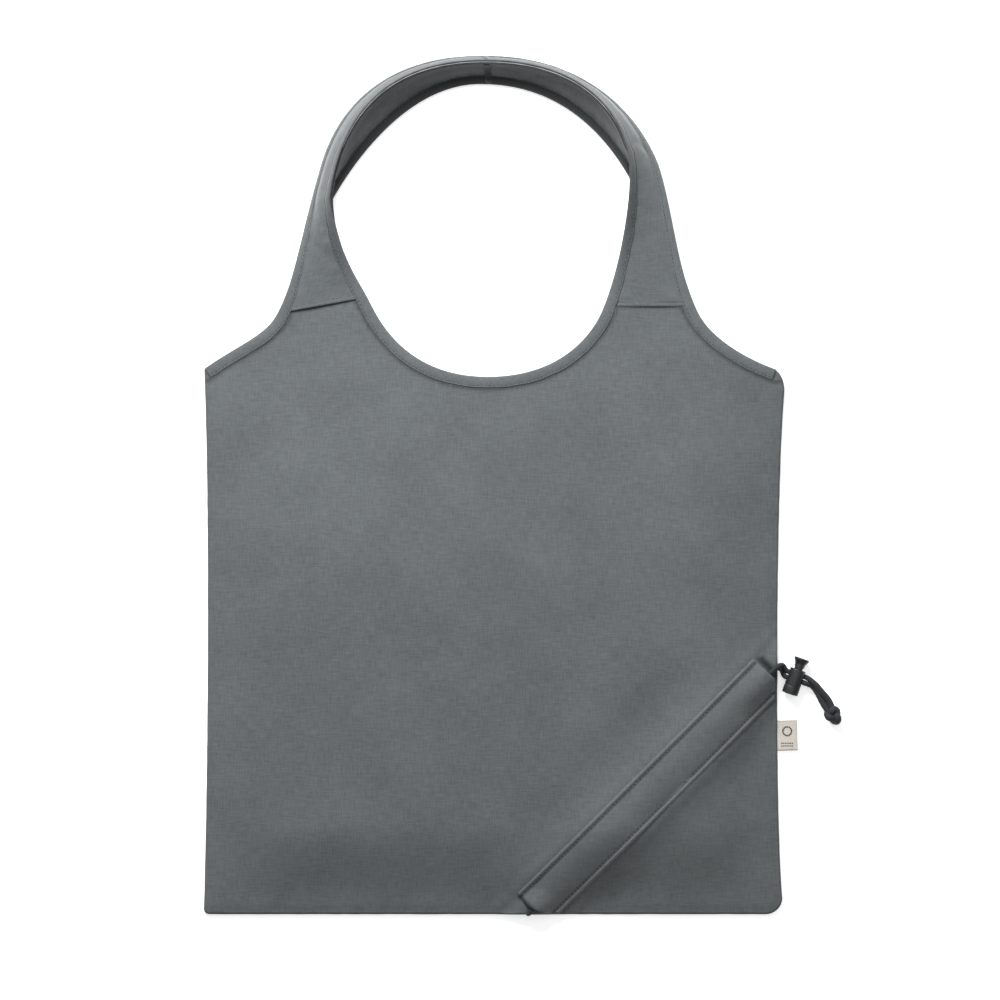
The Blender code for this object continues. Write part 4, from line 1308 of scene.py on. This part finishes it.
ALONG3 = Vector((*CASING_ALONG, 0.0))
whole = cord_points_in_casing()
first, last = whole[0], whole[-1]
front_mouth = [first + ALONG3 * GAP * 1.3, Vector((188.6, 163.9, first.z / MM - 0.3)) * MM,
               Vector((192.4, 164.9, 7.0)) * MM]
back_mouth = [last + ALONG3 * GAP * 1.3, Vector((187.4, 163.0, 2.65)) * MM, Vector((191.4, 162.4, 2.9)) * MM]
front_end = through(strand_route(1, front_mouth), 0.3 * MM)
back_end = through(strand_route(-1, back_mouth), 0.3 * MM)
cord_inside = stand_in(braid("drawcord", whole, sides=12), "bag", "drawcord_in_casing")
cord_front = stand_in(braid("drawcord_end_front", front_end, swell=0.5 * MM), "bag", "cord_end_front")
cord_back = stand_in(braid("drawcord_end_back", back_end, swell=0.5 * MM), "bag", "cord_end_back")
knot_line = by_step(knot_points(), 0.3 * MM)
knot = stand_in(braid("drawcord_knot", knot_line, KNOT_RADIUS), "bag", "cord_knot")


# ---------------------------------------------------------------- cord lock

LOCK_PLACE = (Matrix.Translation(LOCK_CENTRE - LOCK_UP * SLOT_CENTRE)
              @ Matrix((LOCK_ALONG, LOCK_UP.cross(LOCK_ALONG), LOCK_UP)).transposed().to_4x4())


def turned_piece(profile, segments=72):
    """A smooth turned piece from (radius, height) points in millimetres, closed on its axis."""
    rings = []
    for radius, height in profile:
        turns = [2 * math.pi * i / segments for i in range(segments)]
        rings.append([Vector((radius * math.cos(t), radius * math.sin(t), height)) * MM for t in turns])
    return loft(rings)


def cut_piece(name, profile, slot_low, slot_high):
    """A turned piece with a rounded slot through it for the two strands."""
    verts, faces, uvs = turned_piece(profile)
    made = add_mesh(name, [LOCK_PLACE @ v for v in verts], faces, uvs, "lock_plastic")
    facing_out(made)
    shape = bmesh.new()
    bmesh.ops.create_cube(shape, size=1.0)
    bmesh.ops.scale(shape, vec=(14 * MM, SLOT_WIDTH, slot_high - slot_low), verts=shape.verts)
    bmesh.ops.bevel(shape, geom=shape.edges[:], offset=0.7 * MM, segments=4, profile=0.5, affect="EDGES")
    bmesh.ops.translate(shape, vec=(0.0, 0.0, (slot_low + slot_high) / 2), verts=shape.verts)
    bmesh.ops.transform(shape, matrix=Matrix.Translation(SHIFT) @ LOCK_PLACE, verts=shape.verts)
    mesh = bpy.data.meshes.new(name + "_slot")
    shape.to_mesh(mesh)
    shape.free()
    cutter = bpy.data.objects.new(name + "_slot", mesh)
    bpy.context.scene.collection.objects.link(cutter)
    cut = made.modifiers.new("slot", "BOOLEAN")
    cut.operation = "DIFFERENCE"
    cut.solver = "EXACT"
    cut.object = cutter
    soften = made.modifiers.new("edges", "BEVEL")
    soften.width = 0.12 * MM
    soften.segments = 2
    soften.limit_method = "ANGLE"
    soften.angle_limit = math.radians(50)
    bpy.context.view_layer.update()
    done = bpy.data.meshes.new_from_object(made.evaluated_get(bpy.context.evaluated_depsgraph_get()))
    made.modifiers.clear()
    made.data = done
    bpy.data.objects.remove(cutter, do_unlink=True)
    shade = made.modifiers.new("shading", "WEIGHTED_NORMAL")
    shade.keep_sharp = True
    return made


# Sections of the turned pieces, (radius, height) in millimetres
BARREL = [
    (0.0, 0.0), (3.4, 0.0), (3.7, 0.18), (4.75, 0.18), (5.2, 0.38), (5.45, 0.85), (5.45, 5.2),
    (5.28, 5.45), (5.28, 6.1), (5.45, 6.35), (5.45, 16.6), (5.3, 17.1), (4.95, 17.4), (4.3, 17.4),
    (3.95, 17.1), (3.85, 16.5), (3.85, 1.6), (3.5, 1.25), (0.0, 1.25),
]
PLUNGER = [
    (0.0, 7.2), (3.2, 7.2), (3.5, 7.5), (3.5, 20.6), (3.6, 21.1), (3.95, 21.9), (4.55, 23.0), (5.0, 23.8),
    (5.2, 24.4), (5.15, 24.9), (4.85, 25.15), (4.1, 25.2), (3.7, 24.95), (0.0, 24.75),
]
SLOT_WIDTH = 4.2 * MM
BARREL_SLOT = 4.1 * MM          # half its height
PLUNGER_SLOT = STRAND + CORD / 2 + 0.35 * MM
PRESS_ROOM = 3.0 * MM           # by which the plunger's slot is higher, for the pressed button
plunger_slot_top = SLOT_CENTRE + PLUNGER_SLOT + PRESS_ROOM
barrel = cut_piece("lock_barrel", BARREL, SLOT_CENTRE - BARREL_SLOT, SLOT_CENTRE + BARREL_SLOT)
plunger = cut_piece("lock_plunger", PLUNGER, SLOT_CENTRE - PLUNGER_SLOT, plunger_slot_top)
stand_in(barrel, "cord_lock", "cord_lock_barrel")
stand_in(plunger, "lock_button", "cord_lock_plunger")


def build_spring():
    wire, low, high, radius, turns = 0.5 * MM, 1.75 * MM, 6.65 * MM, 3.05 * MM, 4.5
    steps, sides = 180, 10
    points = []
    for i in range(steps + 1):
        angle = 2 * math.pi * turns * i / steps
        at = Vector((radius * math.cos(angle), radius * math.sin(angle), low + (high - low) * i / steps))
        points.append(LOCK_PLACE @ at)
    rings = []
    for i, p in enumerate(points):
        forward = heading(points, i).normalized()
        side = forward.cross(LOCK_UP).normalized()
        up = side.cross(forward)
        angles = [2 * math.pi * k / sides for k in range(sides)]
        rings.append([p + (side * math.cos(a) + up * math.sin(a)) * wire / 2 for a in angles])
    verts, faces, uvs = loft(rings)
    return facing_out(add_mesh("lock_spring", verts, faces, uvs, "spring_steel"))


spring = stand_in(build_spring(), "cord_lock", "cord_lock_spring")
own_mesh(spring)


# ---------------------------------------------------------------- label

def build_label():
    """A woven tape folded double, its two ends sewn into the side seam."""
    x0, y0 = 186.6 * MM, 108.0 * MM
    wide, tall = 15.4 * MM, 20.6 * MM
    skew = 0.5 * MM
    fold = 0.52 * MM            # half the distance between the two layers
    rows, columns, fold_steps = 24, 22, 8
    steps = [wide * k / columns - fold for k in range(columns + 1)]
    turns = [math.pi * k / fold_steps for k in range(1, fold_steps)]
    path = ([(u, fold) for u in steps]
            + [(wide - fold + fold * math.sin(turn), fold * math.cos(turn)) for turn in turns]
            + [(u, -fold) for u in reversed(steps)])
    verts, uvs, wear_and_painted_light_values = [], [], []
    for r in range(rows + 1):
        v = r / rows
        for u, off in path:
            x = x0 + u + fold
            share = u / wide
            y = y0 + tall * v + skew * share * (1 - v) + skew * v * (share - 1)
            sag = noise.noise(Vector((u * 90.0, v * 1.7, 81.0))) * 0.22 * MM * smooth(share)
            z = LABEL_Z + off * (0.45 + 0.55 * smooth(share * 3)) + sag
            verts.append(Vector((x - skew * v * share, y, z)))
            uvs.append((x, y))
            wear_and_painted_light_values.append(-0.5 * hump(min(v, 1 - v) * tall, 0.7 * MM))
    faces = grid_faces(rows, len(path))
    made = add_mesh("woven_label", verts, faces, uvs, "label_tape", wear_and_painted_light_values, LABEL_SHEET)
    return stand_in(made, "label", "side_label")


def label_mark(name, points, pitch, stitch, fat):
    """A line woven into the label in dark thread."""
    made = stitches(name, points, [UP] * len(points), "label_print", pitch, stitch, fat)
    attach(made, "label")
    return made


LABEL_Z = 1.25 * MM             # between the label's two layers
LABEL_SHEET = 0.28 * MM
MARK_Z = 1.98 * MM
RING_CENTRE = Vector((195.6, 121.2, 0.0)) * MM + UP * MARK_Z
RING_RADIUS = 2.9 * MM
LINE_LEFT, LINE_RIGHT = 191.4 * MM, 199.6 * MM
LINE_HEIGHTS = {"upper": 113.2 * MM, "lower": 111.4 * MM}
label = build_label()
angles = [math.pi * k / 24 for k in range(49)]
ring_path = [RING_CENTRE + Vector((math.cos(a), math.sin(a), 0.0)) * RING_RADIUS for a in angles]
label_marks = [label_mark("label_ring", ring_path, 1.15 * MM, 1.1 * MM, 2.4)]
for name, y in LINE_HEIGHTS.items():
    line = [Vector((LINE_LEFT + (LINE_RIGHT - LINE_LEFT) * i / 12, y, MARK_Z)) for i in range(13)]
    label_marks.append(label_mark(f"label_line_{name}", line, 1.05 * MM, 0.95 * MM, 1.7))


# ---------------------------------------------------------------- sizes of the soft pieces, worked out and not kept

for name, made in handle_pieces.items():
    wide, long, flat_area = STRIP_FACTS[name]
travelled(whole)[-1]
travelled(front_end)[-1]
travelled(back_end)[-1]


# ---------------------------------------------------------------- floor, lights, camera

def area_light(name, place, size, power):
    """A round lamp that points at the bag's middle."""
    data = bpy.data.lights.new(name, "AREA")
    data.shape = "DISK"
    data.size = size
    data.energy = power
    made = bpy.data.objects.new(name, data)
    made.location = place
    made.rotation_euler = (-Vector(place)).to_track_quat("-Z", "Y").to_euler()
    bpy.context.scene.collection.objects.link(made)


def build_floor():
    shape = bmesh.new()
    bmesh.ops.create_circle(shape, cap_ends=True, radius=6.0, segments=96)
    mesh = bpy.data.meshes.new("floor")
    shape.to_mesh(mesh)
    shape.free()
    mesh.materials.append(floor_material())
    made = bpy.data.objects.new("floor", mesh)
    made.location.z = -0.2 * MM
    bpy.context.scene.collection.objects.link(made)
    made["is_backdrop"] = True


build_floor()
area_light("key", (-0.30, 0.98, 0.85), 0.7, 31.0)
area_light("fill", (0.5, 0.3, 2.2), 2.0, 12.5)

world = bpy.data.worlds.new("studio")
bpy.context.scene.world = world
world.use_nodes = True
sky = world.node_tree.nodes["Background"]
sky.inputs["Color"].default_value = (1.0, 1.0, 1.0, 1.0)
sky.inputs["Strength"].default_value = 0.28
bpy.context.scene.view_settings.view_transform = "Standard"

CAMERA_HEIGHT = 5.0
VIEW_WIDTH = 0.6632             # metres across the picture, at the cloth's height
CLOTH_HEIGHT = 0.008
lens = bpy.data.cameras.new("camera")
lens.sensor_width = 36.0
lens.lens = lens.sensor_width * (CAMERA_HEIGHT - CLOTH_HEIGHT) / VIEW_WIDTH
lens.clip_end = 30.0
camera = bpy.data.objects.new("camera", lens)
camera.location = (-0.0004, -0.0106, CAMERA_HEIGHT)
bpy.context.scene.collection.objects.link(camera)
bpy.context.scene.camera = camera

low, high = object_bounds()
{"cad": [list(cad_low), list(cad_high)], "visual": [list(low), list(high)]}
